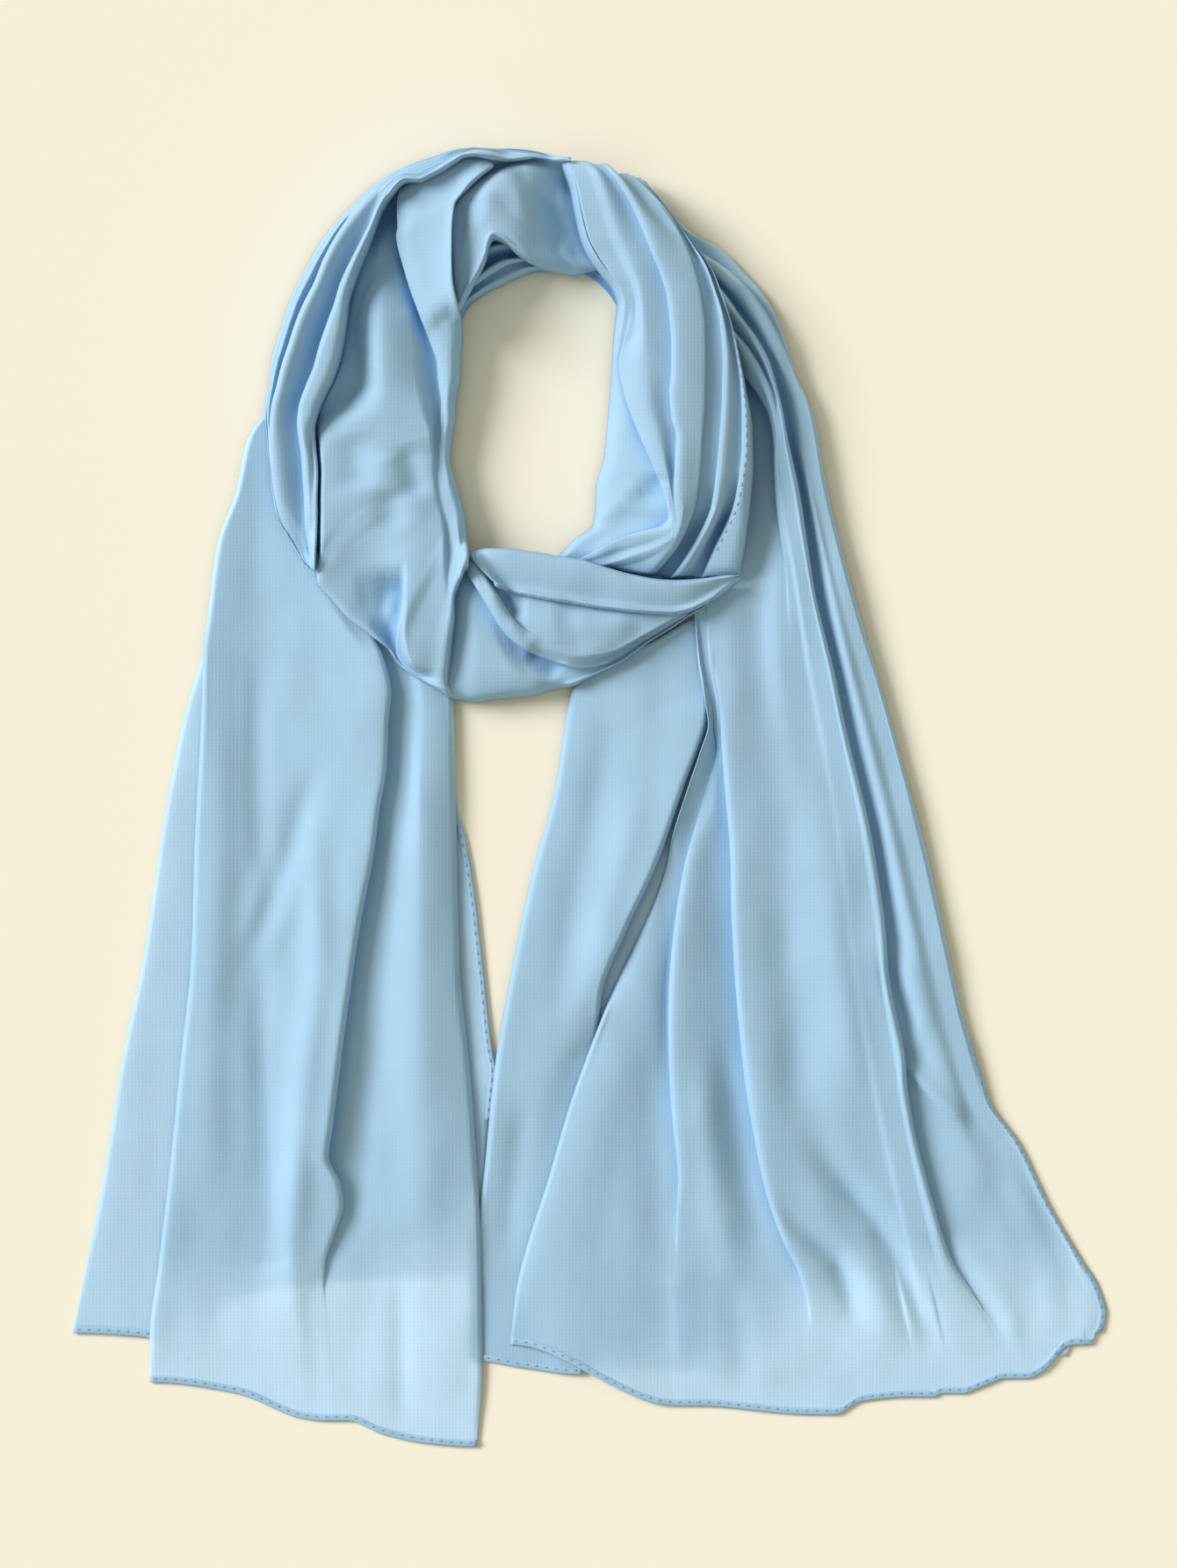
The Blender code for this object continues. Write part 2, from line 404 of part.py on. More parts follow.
def weave(plan, lines, cell):
    """Grid of plan points and heights between the lines of a sheet."""
    cell_across, cell_along = cell
    curves = line_curves(plan, lines)
    lengths = []
    for (stations, across, _), _ in curves:
        x, y = plan.to_plan(stations, across)
        lengths.append(np.hypot(np.diff(x), np.diff(y)).sum())
    rows = int(math.ceil(max(lengths) / cell_along)) + 1
    sections = []
    for v in np.linspace(0, 1, rows):
        knots = []
        for (stations, across, heights), _ in curves:
            station = stations[0] + v * (stations[-1] - stations[0])
            place = smooth_through(stations, across, station)
            knots.append((station, place, smooth_through(stations, heights, station)))
        knots = np.array(knots, float)
        knots[:, 1] = spread(knots[:, 1])
        knots[:, 2] = ease(knots[:, 1], knots[:, 2])
        sections.append(knots)
    sections = np.array(sections)
    widths = np.diff(sections[:, :, 1], axis=1).mean(axis=0)
    parts = [max(1, int(round(width / cell_across))) for width in widths]
    for i, (_, swelling) in enumerate(curves[:-1]):
        if swelling and widths[i] > 0.5 * cell_across:
            parts[i] = max(parts[i], 2)
    grid = []
    for knots in sections:
        station, across, height = knots.T
        row = []
        for i, part in enumerate(parts):
            last = i == len(parts) - 1
            for step in range(part + last):
                w = step / part
                place = across[i] + w * (across[i + 1] - across[i])
                room = min(1.0, (across[i + 1] - across[i]) / FULL_SWELLING_WIDTH)
                puff = curves[i][1] * room * math.sin(math.pi * w)
                row.append((place, puff))
        row = np.array(row)
        down = smooth_through(across, station, row[:, 0])
        z = smooth_through(across, height, row[:, 0]) + row[:, 1]
        x, y = plan.to_plan(down, row[:, 0])
        grid.append(np.stack([x, y, z], axis=1))
    return np.array(grid)


def filled(grid):
    """A grid with points filled in between its own, and how many steps each way."""
    steps = []
    for axis in (0, 1):
        lengths = np.linalg.norm(np.diff(grid[..., :2], axis=axis), axis=-1)
        parts = int(math.ceil(lengths.max() / (0.7 * RASTER)))
        count = grid.shape[axis]
        places = np.linspace(0, count - 1, (count - 1) * parts + 1)
        low = np.minimum(places.astype(int), count - 2)
        share = places - low
        share = share[:, None, None] if axis == 0 else share[None, :, None]
        grid = np.take(grid, low, axis) * (1 - share) + np.take(grid, low + 1, axis) * share
        steps.append(parts)
    return grid, steps[0], steps[1]


class Pile:
    """Height of all the cloth laid down so far, on a square raster over the plan."""

    def __init__(self):
        self.left = -WIDTH_MM / 2 - 30
        self.near = -LENGTH_MM / 2 - 30
        columns = int((WIDTH_MM + 60) / RASTER)
        rows = int((LENGTH_MM + 60) / RASTER)
        self.top = np.zeros((rows, columns))

    def cells(self, x, y):
        return (y - self.near) / RASTER, (x - self.left) / RASTER

    def add(self, grid):
        """Marks the cells under a grid."""
        fine = filled(grid)[0]
        row, column = self.cells(fine[..., 0], fine[..., 1])
        np.maximum.at(self.top, (row.round().astype(int), column.round().astype(int)), fine[..., 2])

    def widened(self, reach_mm):
        """The pile with every height spread over a small disc."""
        wide = self.top.copy()
        reach = int(round(reach_mm / RASTER))
        for row in range(-reach, reach + 1):
            for column in range(-reach, reach + 1):
                if row * row + column * column <= reach * reach:
                    wide = np.maximum(wide, np.roll(self.top, (row, column), (0, 1)))
        return wide

    def support(self):
        """The surface that the next sheet rests on: a little wider and softer than what lies below."""
        wide = self.widened(REACH)
        soft = int(round(SOFTEN / RASTER))
        total = np.zeros_like(wide)
        count = 0
        for row in range(-soft, soft + 1):
            for column in range(-soft, soft + 1):
                total += np.roll(wide, (row, column), (0, 1))
                count += 1
        return total / count

    def lift(self, grid):
        """Raises a grid wherever its underside would meet what lies below it."""
        support = self.support()
        row, column = self.cells(grid[..., 0], grid[..., 1])
        i = row.astype(int)
        j = column.astype(int)
        u = row - i
        v = column - j
        below = (support[i, j] * (1 - u) * (1 - v) + support[i + 1, j] * u * (1 - v)
                 + support[i, j + 1] * (1 - u) * v + support[i + 1, j + 1] * u * v)
        least = below + WALL + GAP * np.clip(below, 0, 1)
        spare = grid[..., 2] - least
        grid[..., 2] = 0.5 * (grid[..., 2] + least + np.sqrt(spare * spare + SOFT_CONTACT))
        resting = np.maximum(grid[..., 2] - SOFT_CONTACT, WALL)
        grid[..., 2] = np.where(below < TOUCHING, resting, grid[..., 2])

    def lack(self, inner):
        """How far each point of a lower side must rise for its faces to clear the pile."""
        fine, along, across = filled(inner)
        row, column = self.cells(fine[..., 0], fine[..., 1])
        below = self.widened(RASTER)[row.round().astype(int), column.round().astype(int)]
        missing = np.where(below > TOUCHING, below + GAP - fine[..., 2], 0)
        rise = np.zeros(inner.shape[:2])
        for i in range(rise.shape[0]):
            for j in range(rise.shape[1]):
                rows = slice(max(0, (2 * i - 1) * along // 2), (2 * i + 1) * along // 2 + 1)
                columns = slice(max(0, (2 * j - 1) * across // 2), (2 * j + 1) * across // 2 + 1)
                rise[i, j] = missing[rows, columns].max()
        return np.maximum(rise, 0)


def nearest_neighbour(grid):
    """Distance in plan from each point of a grid to the nearest of its four neighbours."""
    nearest = np.full(grid.shape[:2], np.inf)
    for axis in (0, 1):
        gaps = np.linalg.norm(np.diff(grid[..., :2], axis=axis), axis=-1)
        before = np.insert(gaps, 0, np.inf, axis=axis)
        after = np.insert(gaps, gaps.shape[axis], np.inf, axis=axis)
        nearest = np.minimum(nearest, np.minimum(before, after))
    return nearest


def inner_side(grid):
    """Lower side of the cloth: a wall's thickness inwards, flat where it lies on the surface."""
    normals = np.cross(np.gradient(grid, axis=0), np.gradient(grid, axis=1))
    normals /= np.linalg.norm(normals, axis=-1, keepdims=True)
    normals *= np.sign(normals[..., 2:])
    sideways = -WALL * normals[..., :2]
    length = np.linalg.norm(sideways, axis=-1)
    allowed = np.minimum(
        length, SIDEWAYS_SHARE * np.maximum(nearest_neighbour(grid) - LEAST_STEP, 0))
    sideways *= (allowed / np.maximum(length, 1e-6))[..., None]
    inner = grid.copy()
    inner[..., :2] += sideways
    inner[..., 2] -= np.sqrt(WALL * WALL - allowed * allowed) + 0.5 * (length - allowed)
    resting = inner[..., 2] < LEAST_WALL / 2
    inner[resting, 2] = 0
    return inner


def cloth_material(name):
    material = bpy.data.materials.new(name)
    material.use_nodes = True
    shader = material.node_tree.nodes["Principled BSDF"]
    shader.inputs["Base Color"].default_value = CLOTH
    shader.inputs["Roughness"].default_value = 0.8
    shader.inputs["Metallic"].default_value = 0.0
    return material


def add_object(name, bm):
    bmesh.ops.recalc_face_normals(bm, faces=bm.faces)
    mesh = bpy.data.meshes.new(name)
    bm.to_mesh(mesh)
    bm.free()
    mesh.shade_smooth()
    mesh.materials.append(cloth_material(name))
    item = bpy.data.objects.new(name, mesh)
    bpy.context.scene.collection.objects.link(item)


def add_sheet(name, pile, plan, lines, cell=FOLDED_CELL, settle=0.0):
    """One stretch of cloth: its upper side from the lines, and its wall made inwards from that."""
    grid = weave(plan, lines, cell)
    pile.lift(grid)
    inner = inner_side(grid)
    for _ in range(LIFTS):
        grid[..., 2] += pile.lack(inner)
        inner = inner_side(grid)
    grid[..., 2] -= settle
    inner[..., 2] -= settle
    rows, columns = grid.shape[:2]
    bm = bmesh.new()
    bmesh.ops.create_grid(bm, x_segments=columns - 1, y_segments=rows - 1, size=1)
    for vertex, point in zip(bm.verts, grid.reshape(-1, 3)):
        vertex.co = point * MM
    bmesh.ops.triangulate(bm, faces=bm.faces, quad_method="FIXED")
    inside = list(bm.verts)
    bmesh.ops.extrude_face_region(bm, geom=bm.faces[:], use_keep_orig=True)
    for vertex, point in zip(inside, inner.reshape(-1, 3)):
        vertex.co = point * MM
    add_object(name, bm)
    pile.add(grid)


def ring_radii(angle):
    """The loop's inner and outer radius at an angle, smooth all the way round."""
    angles = [row[0] for row in RING_EDGES]
    around = [a - 360 for a in angles] + angles + [a + 360 for a in angles]
    inner = smooth_through(around, [row[1] for row in RING_EDGES] * 3, angle % 360)
    outer = smooth_through(around, [row[2] for row in RING_EDGES] * 3, angle % 360)
    return inner + CORE_INNER_INSET, outer - CORE_OUTER_INSET


def add_core(name, pile):
    """The rounded solid of the loop's hidden layers, stepped at its two edges."""
    bm = bmesh.new()
    profile = []
    for layer in range(CORE_LAYERS):
        inset = CORE_LAYER_INSET * layer
        share = CORE_EDGE_RISE + (1 - CORE_EDGE_RISE) * layer / (CORE_LAYERS - 1)
        height = CORE_HEIGHT * share - CORE_EDGE_ROUND
        profile.append((inset, 0.0 if layer == 0 else height - CORE_EDGE_ROUND))
        profile.append((inset + CORE_EDGE_SLANT, height))
    rings = []
    grid = []
    for section in range(CORE_SECTIONS):
        angle = 360.0 * section / CORE_SECTIONS
        inner, outer = ring_radii(angle)
        middle = 0.5 * (inner + outer)
        points = [(inner + inset, z) for inset, z in profile]
        points.append((middle, CORE_HEIGHT))
        points += [(outer - inset, z) for inset, z in reversed(profile)]
        places = []
        for radius, z in points:
            x = NECK[0] + radius * math.cos(math.radians(angle))
            y = NECK[1] + radius * math.sin(math.radians(angle))
            places.append((x, y, z))
        grid.append(places)
        rings.append([bm.verts.new([value * MM for value in place]) for place in places])
    grid.append(grid[0])
    for ring, following in zip(rings, rings[1:] + rings[:1]):
        count = len(ring)
        for i in range(count):
            k = (i + 1) % count
            bm.faces.new((ring[i], ring[k], following[k], following[i]))
    add_object(name, bm)
    pile.add(np.array(grid))


def centre_on_floor():
    """Moves the whole so that the middle of its plan stands at the origin."""
    items = [item for item in bpy.data.objects if item.type == "MESH"]
    points = np.array([vertex.co for item in items for vertex in item.data.vertices])
    middle = 0.5 * (points.min(axis=0) + points.max(axis=0))
    for item in items:
        item.data.transform(Matrix.Translation((-middle[0], -middle[1], -points[:, 2].min())))


pile = Pile()
down = Hanging()
slanted = Hanging(shear=0.3)
add_core("ring_core", pile)
add_sheet("left_tail_back", pile, down, LEFT_TAIL_BACK, PLAIN_CELL)
add_sheet("right_tail_back", pile, slanted, RIGHT_TAIL_BACK, PLAIN_CELL)
add_sheet("right_tail_panel", pile, down, RIGHT_TAIL_PANEL)
add_sheet("right_tail_front", pile, slanted, RIGHT_TAIL_FRONT)
add_sheet("left_tail_front", pile, down, LEFT_TAIL_FRONT)
add_sheet("ring_twist", pile, Around(150, -1), RING_TWIST)
add_sheet("ring_right_arm", pile, Around(120, -1), RING_RIGHT_ARM)
add_sheet("ring_crossing", pile, Around(200, 1), RING_CROSSING)
add_sheet("ring_hem_band", pile, Around(200, 1), RING_HEM_BAND)
add_sheet("ring_left_arm", pile, Around(60, 1), RING_LEFT_ARM)
add_sheet("ring_top_band", pile, Around(150, -1), RING_TOP_BAND, settle=TOP_BAND_SETTLE)
centre_on_floor()
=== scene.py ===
# %% [markdown]
# # A chiffon scarf, wound once into a neck loop and laid flat
#
# The real thing is one long rectangle of light-blue polyester chiffon with a narrow stitched hem all
# round. It is folded along its length, wound into a loop, and its two ends hang down side by side.
# Chiffon is thin and limp: it makes long soft folds with crisp folded edges, and where only one layer
# lies on the table it looks paler, because the table shows through.
#
# The scarf could be simulated, but a wound scarf seldom settles into one wanted set of folds. So each
# stretch of cloth is woven here between named lines (edges, crests, troughs), laid over what is already
# on the table, and given its thickness afterwards.

import math

import bmesh
import bpy
import numpy as np
from mathutils import Matrix, Vector, noise


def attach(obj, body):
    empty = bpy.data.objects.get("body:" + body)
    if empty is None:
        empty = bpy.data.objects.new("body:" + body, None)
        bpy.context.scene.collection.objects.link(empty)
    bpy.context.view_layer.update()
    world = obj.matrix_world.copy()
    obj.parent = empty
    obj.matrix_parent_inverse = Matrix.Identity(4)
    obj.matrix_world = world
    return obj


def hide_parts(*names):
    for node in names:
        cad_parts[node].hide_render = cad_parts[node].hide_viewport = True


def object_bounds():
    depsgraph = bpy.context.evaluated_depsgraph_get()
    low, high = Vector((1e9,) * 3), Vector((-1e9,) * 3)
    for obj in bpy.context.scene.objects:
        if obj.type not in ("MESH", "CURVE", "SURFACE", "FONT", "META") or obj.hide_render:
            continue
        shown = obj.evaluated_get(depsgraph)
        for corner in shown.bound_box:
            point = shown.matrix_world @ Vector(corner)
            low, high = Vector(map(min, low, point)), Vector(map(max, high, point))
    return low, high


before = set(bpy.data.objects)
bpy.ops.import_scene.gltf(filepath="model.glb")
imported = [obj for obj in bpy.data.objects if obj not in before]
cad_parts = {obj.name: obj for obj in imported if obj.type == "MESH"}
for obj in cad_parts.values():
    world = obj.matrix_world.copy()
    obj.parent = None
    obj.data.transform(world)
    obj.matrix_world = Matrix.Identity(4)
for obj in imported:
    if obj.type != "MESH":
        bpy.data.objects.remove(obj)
cad_low, cad_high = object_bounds()
print("solids to dress:", sorted(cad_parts))

# %% [markdown]
# ## Sizes
#
# Everything is drawn in millimetres on the plan of the laid scarf: X to the right, Y towards the loop.
# The solids are centred on the origin, so the plan is moved by PLAN_SHIFT when it becomes geometry.
# Chiffon is about 0.2 mm thick; the shells are 0.45 mm, which still reads as thin and keeps two layers
# that touch from flickering into each other.

# %% Sizes of the cloth
MM = 0.001
PLAN_SHIFT = np.array((0.2, -1.05, 0.0))
CLOTH_THICK = 0.45
LAYER_GAP = 0.25
SCARF_WIDTH = 0.70
SCARF_LENGTH = 1.80
NECK = (-26.0, 180.0)
print(f"whole cut {SCARF_LENGTH:.2f} x {SCARF_WIDTH:.2f} m, neck opening about {NECK} mm on the plan")

# %% [markdown]
# ## Polyester chiffon
#
# Polyester chiffon is a sheer plain weave of tightly twisted crepe yarns, piece-dyed light blue. The
# twist gives the eye a soft, matt, slightly grainy surface with a faint glow along the folds. An image
# of cloth could be wrapped over it, but nodes that read the object's own coordinates stay sharp at any
# distance and need no file.
#
# One layer on a pale table is paler than two. The colour therefore follows an attribute, "depth", which
# says how much cloth lies below: 0 is one layer on the table, 1 is two or more. A second attribute,
# "fold_shade", is painted shade: it deepens the blue at the bottom of the folds, where shade falls.

# %% Colours and nodes
def linear(hex_colour):
    """Colour from an sRGB hex value to linear values, as the shader needs them."""
    values = []
    for i in (0, 2, 4):
        value = int(hex_colour[i:i + 2], 16) / 255
        values.append(value / 12.92 if value <= 0.04045 else ((value + 0.055) / 1.055) ** 2.4)
    return (*values, 1.0)


def add_node(tree, kind, settings, links=()):
    """One node with its settings, inputs by name, and links from (node, output) to its inputs."""
    node = tree.nodes.new(kind)
    for key, value in settings.items():
        if key in node.inputs:
            node.inputs[key].default_value = value
        else:
            setattr(node, key, value)
    for source, output, target in links:
        tree.links.new(source.outputs[output], node.inputs[target])
    return node


print("one layer", [round(value, 3) for value in linear("BDDDF2")[:3]])

# %% [markdown]
# The yarns of chiffon are about 0.3 mm apart, which is too fine to show at arm's length, so the weave is
# drawn 1.65 mm coarse. The crepe grain is drawn 1.1 mm coarse for the same reason. Clouds of 36 mm give
# the small unevenness of dyed cloth. A wave node repeats every 2 pi / (20 x scale) metres.

# %% Scales of the patterns
YARN_SPACING = 1.65 * MM
GRAIN_SIZE = 1.1 * MM
CLOUD_SIZE = 36 * MM
WEAVE_DEPTH = 0.06 * MM
# Painted shade: the deeper blue that the cloth's colour is multiplied by at the bottom of the folds.
PAINTED_SHADE_TINT = "B0D1F0"
yarn_scale = 2 * math.pi / (20 * YARN_SPACING)
print(f"wave scale {yarn_scale:.0f}, grain scale {1 / GRAIN_SIZE:.0f}, cloud scale {1 / CLOUD_SIZE:.0f}")


# %% Weave, grain, dye and painted shade
def add_weave(tree, place):
    """Warp, weft and crepe grain as a bump."""
    yarns = {"wave_type": "BANDS", "Scale": yarn_scale, "Distortion": 0.6, "Detail": 1.0}
    from_place = [(place, "Object", "Vector")]
    warp = add_node(tree, "ShaderNodeTexWave", {**yarns, "bands_direction": "X"}, from_place)
    weft = add_node(tree, "ShaderNodeTexWave", {**yarns, "bands_direction": "Y"}, from_place)
    grain = add_node(tree, "ShaderNodeTexNoise", {"Scale": 1 / GRAIN_SIZE, "Detail": 2.0, "Roughness": 0.6},
                     [(place, "Object", "Vector")])
    yarn_height = add_node(tree, "ShaderNodeMath", {"operation": "ADD"}, [(warp, "Fac", 0), (weft, "Fac", 1)])
    height = add_node(tree, "ShaderNodeMath", {"operation": "ADD"},
                      [(yarn_height, "Value", 0), (grain, "Fac", 1)])
    return add_node(tree, "ShaderNodeBump", {"Strength": 0.45, "Distance": WEAVE_DEPTH},
                    [(height, "Value", "Height")])


def add_dye_and_shade(tree, cloud):
    """Light blue, paler over the bare table, with painted shade that deepens it in the hollows, a little
    cloudy.
    """
    depth = add_node(tree, "ShaderNodeAttribute", {"attribute_name": "depth"})
    fold_shade = add_node(tree, "ShaderNodeAttribute", {"attribute_name": "fold_shade"})
    colours = {"data_type": "RGBA", "A": linear("BDDDF2"), "B": linear("9FC3DA")}
    dyed = add_node(tree, "ShaderNodeMix", colours,
                    [(depth, "Fac", "Factor")])
    # painted shade: the colour is multiplied by a deeper blue where the folds lie low
    shaded = add_node(tree, "ShaderNodeMix",
                      {"data_type": "RGBA", "blend_type": "MULTIPLY", "B": linear(PAINTED_SHADE_TINT)},
                      [(fold_shade, "Fac", "Factor"), (dyed, "Result", "A")])
    tone = add_node(tree, "ShaderNodeMapRange",
                    {"From Min": 0.3, "From Max": 0.7, "To Min": 0.965, "To Max": 1.03},
                    [(cloud, "Fac", "Value")])
    return add_node(tree, "ShaderNodeHueSaturation", {},
                    [(tone, "Result", "Value"), (shaded, "Result", "Color")])


# %% The cloth's material
def chiffon_material():
    """Crepe-twisted polyester: matt, with a weak highlight and a thin sheen along the folds."""
    material = bpy.data.materials.new("chiffon_crepe_weave")
    material.use_nodes = True
    tree = material.node_tree
    shader = tree.nodes["Principled BSDF"]
    shader.inputs["IOR"].default_value = 1.46
    shader.inputs["Specular IOR Level"].default_value = 0.12
    shader.inputs["Sheen Weight"].default_value = 0.12
    shader.inputs["Sheen Roughness"].default_value = 0.45
    shader.inputs["Sheen Tint"].default_value = linear("D6EAF6")
    place = add_node(tree, "ShaderNodeTexCoord", {})
    cloud = add_node(tree, "ShaderNodeTexNoise", {"Scale": 1 / CLOUD_SIZE, "Detail": 3.0, "Roughness": 0.55},
                     [(place, "Object", "Vector")])
    rough = add_node(tree, "ShaderNodeMapRange", {"To Min": 0.78, "To Max": 0.92}, [(cloud, "Fac", "Value")])
    tree.links.new(rough.outputs["Result"], shader.inputs["Roughness"])
    tree.links.new(add_weave(tree, place).outputs["Normal"], shader.inputs["Normal"])
    tree.links.new(add_dye_and_shade(tree, cloud).outputs["Color"], shader.inputs["Base Color"])
    return material


chiffon = chiffon_material()
print("material", chiffon.name, "with", len(chiffon.node_tree.nodes), "nodes")

# %% [markdown]
# ## Sewing thread
#
# The hems are sewn with spun polyester thread, a shade deeper than the cloth and a little shinier. Its
# plies are twisted about every 0.8 mm, which a fine band across each stitch shows.

# %% Thread
PLY_TWIST = 0.8 * MM


def thread_material():
    """Spun polyester: two plies that show as fine darker bands."""
    material = bpy.data.materials.new("spun_polyester_thread")
    material.use_nodes = True
    tree = material.node_tree
    shader = tree.nodes["Principled BSDF"]
    shader.inputs["Roughness"].default_value = 0.6
    shader.inputs["IOR"].default_value = 1.5
    place = add_node(tree, "ShaderNodeTexCoord", {})
    plies = add_node(tree, "ShaderNodeTexWave",
                     {"wave_type": "BANDS", "bands_direction": "DIAGONAL",
                      "Scale": 2 * math.pi / (20 * PLY_TWIST)}, [(place, "Object", "Vector")])
    colours = {"data_type": "RGBA", "A": linear("7DA7C3"), "B": linear("8FB7D0")}
    twisted = add_node(tree, "ShaderNodeMix", colours,
                       [(plies, "Fac", "Factor")])
    tree.links.new(twisted.outputs["Result"], shader.inputs["Base Color"])
    bump = add_node(tree, "ShaderNodeBump", {"Strength": 0.3, "Distance": 0.05 * MM},
                    [(plies, "Fac", "Height")])
    tree.links.new(bump.outputs["Normal"], shader.inputs["Normal"])
    return material


thread = thread_material()
print("material", thread.name)

# %% [markdown]
# ## Weaving a sheet between named lines
#
# A sheet is a grid of points: rows run down the cloth (or round the loop), columns run across it. Each
# named line is a smooth curve on the plan with a height. A row cuts all the lines and passes a smooth
# curve through the cuts. A monotone cubic is used because it never overshoots, so a fold keeps its crest.

# %% Monotone curve
def smooth_through(knots, values, places):
    """Monotone cubic through the knots, read at places."""
    knots = np.asarray(knots, float)
    values = np.asarray(values, float)
    steps = np.maximum(np.diff(knots), 1e-6)
    slopes = np.diff(values) / steps
    tangents = np.zeros(len(knots))
    tangents[0] = slopes[0]
    tangents[-1] = slopes[-1]
    for i in range(1, len(knots) - 1):
        if slopes[i - 1] * slopes[i] > 0:
            before = 2 * steps[i] + steps[i - 1]
            after = steps[i] + 2 * steps[i - 1]
            tangents[i] = (before + after) / (before / slopes[i - 1] + after / slopes[i])
    places = np.clip(places, knots[0], knots[-1])
    i = np.clip(np.searchsorted(knots, places, "right") - 1, 0, len(knots) - 2)
    t = (places - knots[i]) / steps[i]
    start = (1 + 2 * t) * (1 - t) ** 2 * values[i] + t * (1 - t) ** 2 * steps[i] * tangents[i]
    end = t * t * (3 - 2 * t) * values[i + 1] + t * t * (t - 1) * steps[i] * tangents[i + 1]
    return start + end


print("half way up a step of 4 mm:", smooth_through((0, 1, 2, 3), (0, 0, 4, 4), 1.5))

# %% [markdown]
# The two ends hang straight down, so their rows are cut square to the plan. The loop is cut by rays from
# the middle of the neck opening, so its rows turn with the cloth.

# %% Two kinds of plan
class Hanging:
    """Stations run down the cloth, places run across it to the right."""

    def __init__(self, shear=0.0):
        self.shear = shear

    def from_plan(self, x, y):
        return -y, x + self.shear * y

    def to_plan(self, station, across):
        return across + self.shear * station, -station


class Around:
    """Stations turn about the neck opening in degrees, places run outwards from its centre."""

    def __init__(self, first_angle, turn):
        self.first_angle = first_angle
        self.turn = turn

    def from_plan(self, x, y):
        angle = np.degrees(np.arctan2(y - NECK[1], x - NECK[0]))
        return (self.turn * (angle - self.first_angle)) % 360, np.hypot(x - NECK[0], y - NECK[1])

    def to_plan(self, station, across):
        angle = np.radians(self.first_angle + self.turn * station)
        return NECK[0] + across * np.cos(angle), NECK[1] + across * np.sin(angle)


print("60 mm above the neck:", Around(90, 1).to_plan(0, 60))

# %% [markdown]
# A folded edge is more than a step. The cloth comes level to its shoulder, rolls over the nose of the
# fold, tucks back beneath it, and lies down at the foot. That tuck makes the thin dark line that a real
# pleat shows. Four knots give that shape: shoulder, crest, tuck and foot. A fold that dies out has no
# crisp edge, so below SOFT_DROP its shoulder and foot widen towards SOFT_FOOT.
#
# A line is (name, offset, swelling, points). The offset says where the foot lies: above 0 after the
# crest, below 0 before it, and 0 is a line with no fold. On a sheet's first or last line it is how far
# in from the edge the cloth reaches its height. A point is (x, y, height, low), low only with an offset:
# the height of the foot, or the height just inside the edge.

# %% Knots of one row
SHOULDER = 2.6
TUCK = 3.4
FOOT = 1.3
SOFT_FOOT = 6.0
FULL_DROP = 6.0
SOFT_DROP = 2.5
CREST_SINK = 0.32
TUCK_RISE = 0.16
TUCK_ROOM = 0.9
SHALLOW_SLOPE = 0.3
SHARE = 0.42
OPEN_ROOM = 9.0
LEAST_APART = 0.6


def folded_step(place, height, low, side, behind, ahead):
    """The four knots of a folded edge, with so much room behind and ahead of it."""
    drop = max(0.0, height - low)
    full = min(1.0, drop / FULL_DROP)
    soft = max(0.0, 1 - drop / SOFT_DROP)
    shoulder = SHOULDER + soft * (SOFT_FOOT - SHOULDER)
    foot = FOOT + soft * (SOFT_FOOT - FOOT)
    tuck = min(TUCK, TUCK_ROOM * behind) * full - SHALLOW_SLOPE * min(foot, ahead) * (1 - full)
    return [
        (place - side * min(shoulder, behind), height),
        (place, height - CREST_SINK * drop),
        (place - side * tuck, low + TUCK_RISE * drop),
        (place + side * min(foot, ahead), low),
    ]


def row_knots(places, heights, lows, offsets):
    """Place, height and line number of each knot of a row."""
    places = places.copy()
    for i in range(1, len(places)):
        places[i] = max(places[i], places[i - 1] + LEAST_APART)
    knots = []
    last = len(places) - 1
    for i, offset in enumerate(offsets):
        before = SHARE * (places[i] - places[i - 1]) if i else OPEN_ROOM
        after = SHARE * (places[i + 1] - places[i]) if i < last else OPEN_ROOM
        edge = (places[i], heights[i])
        if not offset:
            step = [edge]
        elif i == 0:
            step = [edge, (places[i] + min(offset, after), lows[i])]
        elif i == last:
            step = [(places[i] - min(-offset, before), lows[i]), edge]
        elif offset > 0:
            step = folded_step(places[i], heights[i], lows[i], 1, before, after)
        else:
            step = folded_step(places[i], heights[i], lows[i], -1, after, before)[::-1]
        knots += [(place, height, i) for place, height in step]
    return knots


print("knots of a fold:", folded_step(20.0, 10.0, 4.0, 1, 8.0, 8.0))

# %% [markdown]
# Weaving runs in three steps: the lines are read, every row gets its knots, and each row is divided into
# the same number of columns, closer together inside a fold. Between two lines the cloth may swell a
# little, as it does over trapped air.

# %% Reading the lines
def read_routes(plan, lines):
    """Stations, places, heights and lows of each line, and its length."""
    routes = []
    for name, offset, _, route in lines:
        points = np.array([point[:3] for point in route], float)
        lows = np.array([point[3] if offset else point[2] for point in route], float)
        stations, across = plan.from_plan(points[:, 0], points[:, 1])
        if (np.diff(stations) <= 0).any():
            raise ValueError(f"{name} turns back at {np.where(np.diff(stations) <= 0)[0]}")
        length = np.hypot(np.diff(points[:, 0]), np.diff(points[:, 1])).sum()
        routes.append((stations, across, points[:, 2], lows, length))
    return routes


def cut_rows(routes, offsets, rows):
    """The knots of every row: place, height, station and line number."""
    sections = []
    for v in np.linspace(0, 1, rows):
        cut = []
        for stations, across, heights, lows, _ in routes:
            station = stations[0] + v * (stations[-1] - stations[0])
            cut.append([smooth_through(stations, values, station) for values in (across, heights, lows)]
                       + [station])
        cut = np.array(cut)
        knots = row_knots(cut[:, 0], cut[:, 1], cut[:, 2], offsets)
        sections.append([(place, height, cut[i, 3], i) for place, height, i in knots])
    return np.array(sections)


# %% Weaving
FOLD_STEPS = 4
SWELL_ROOM = 12.0


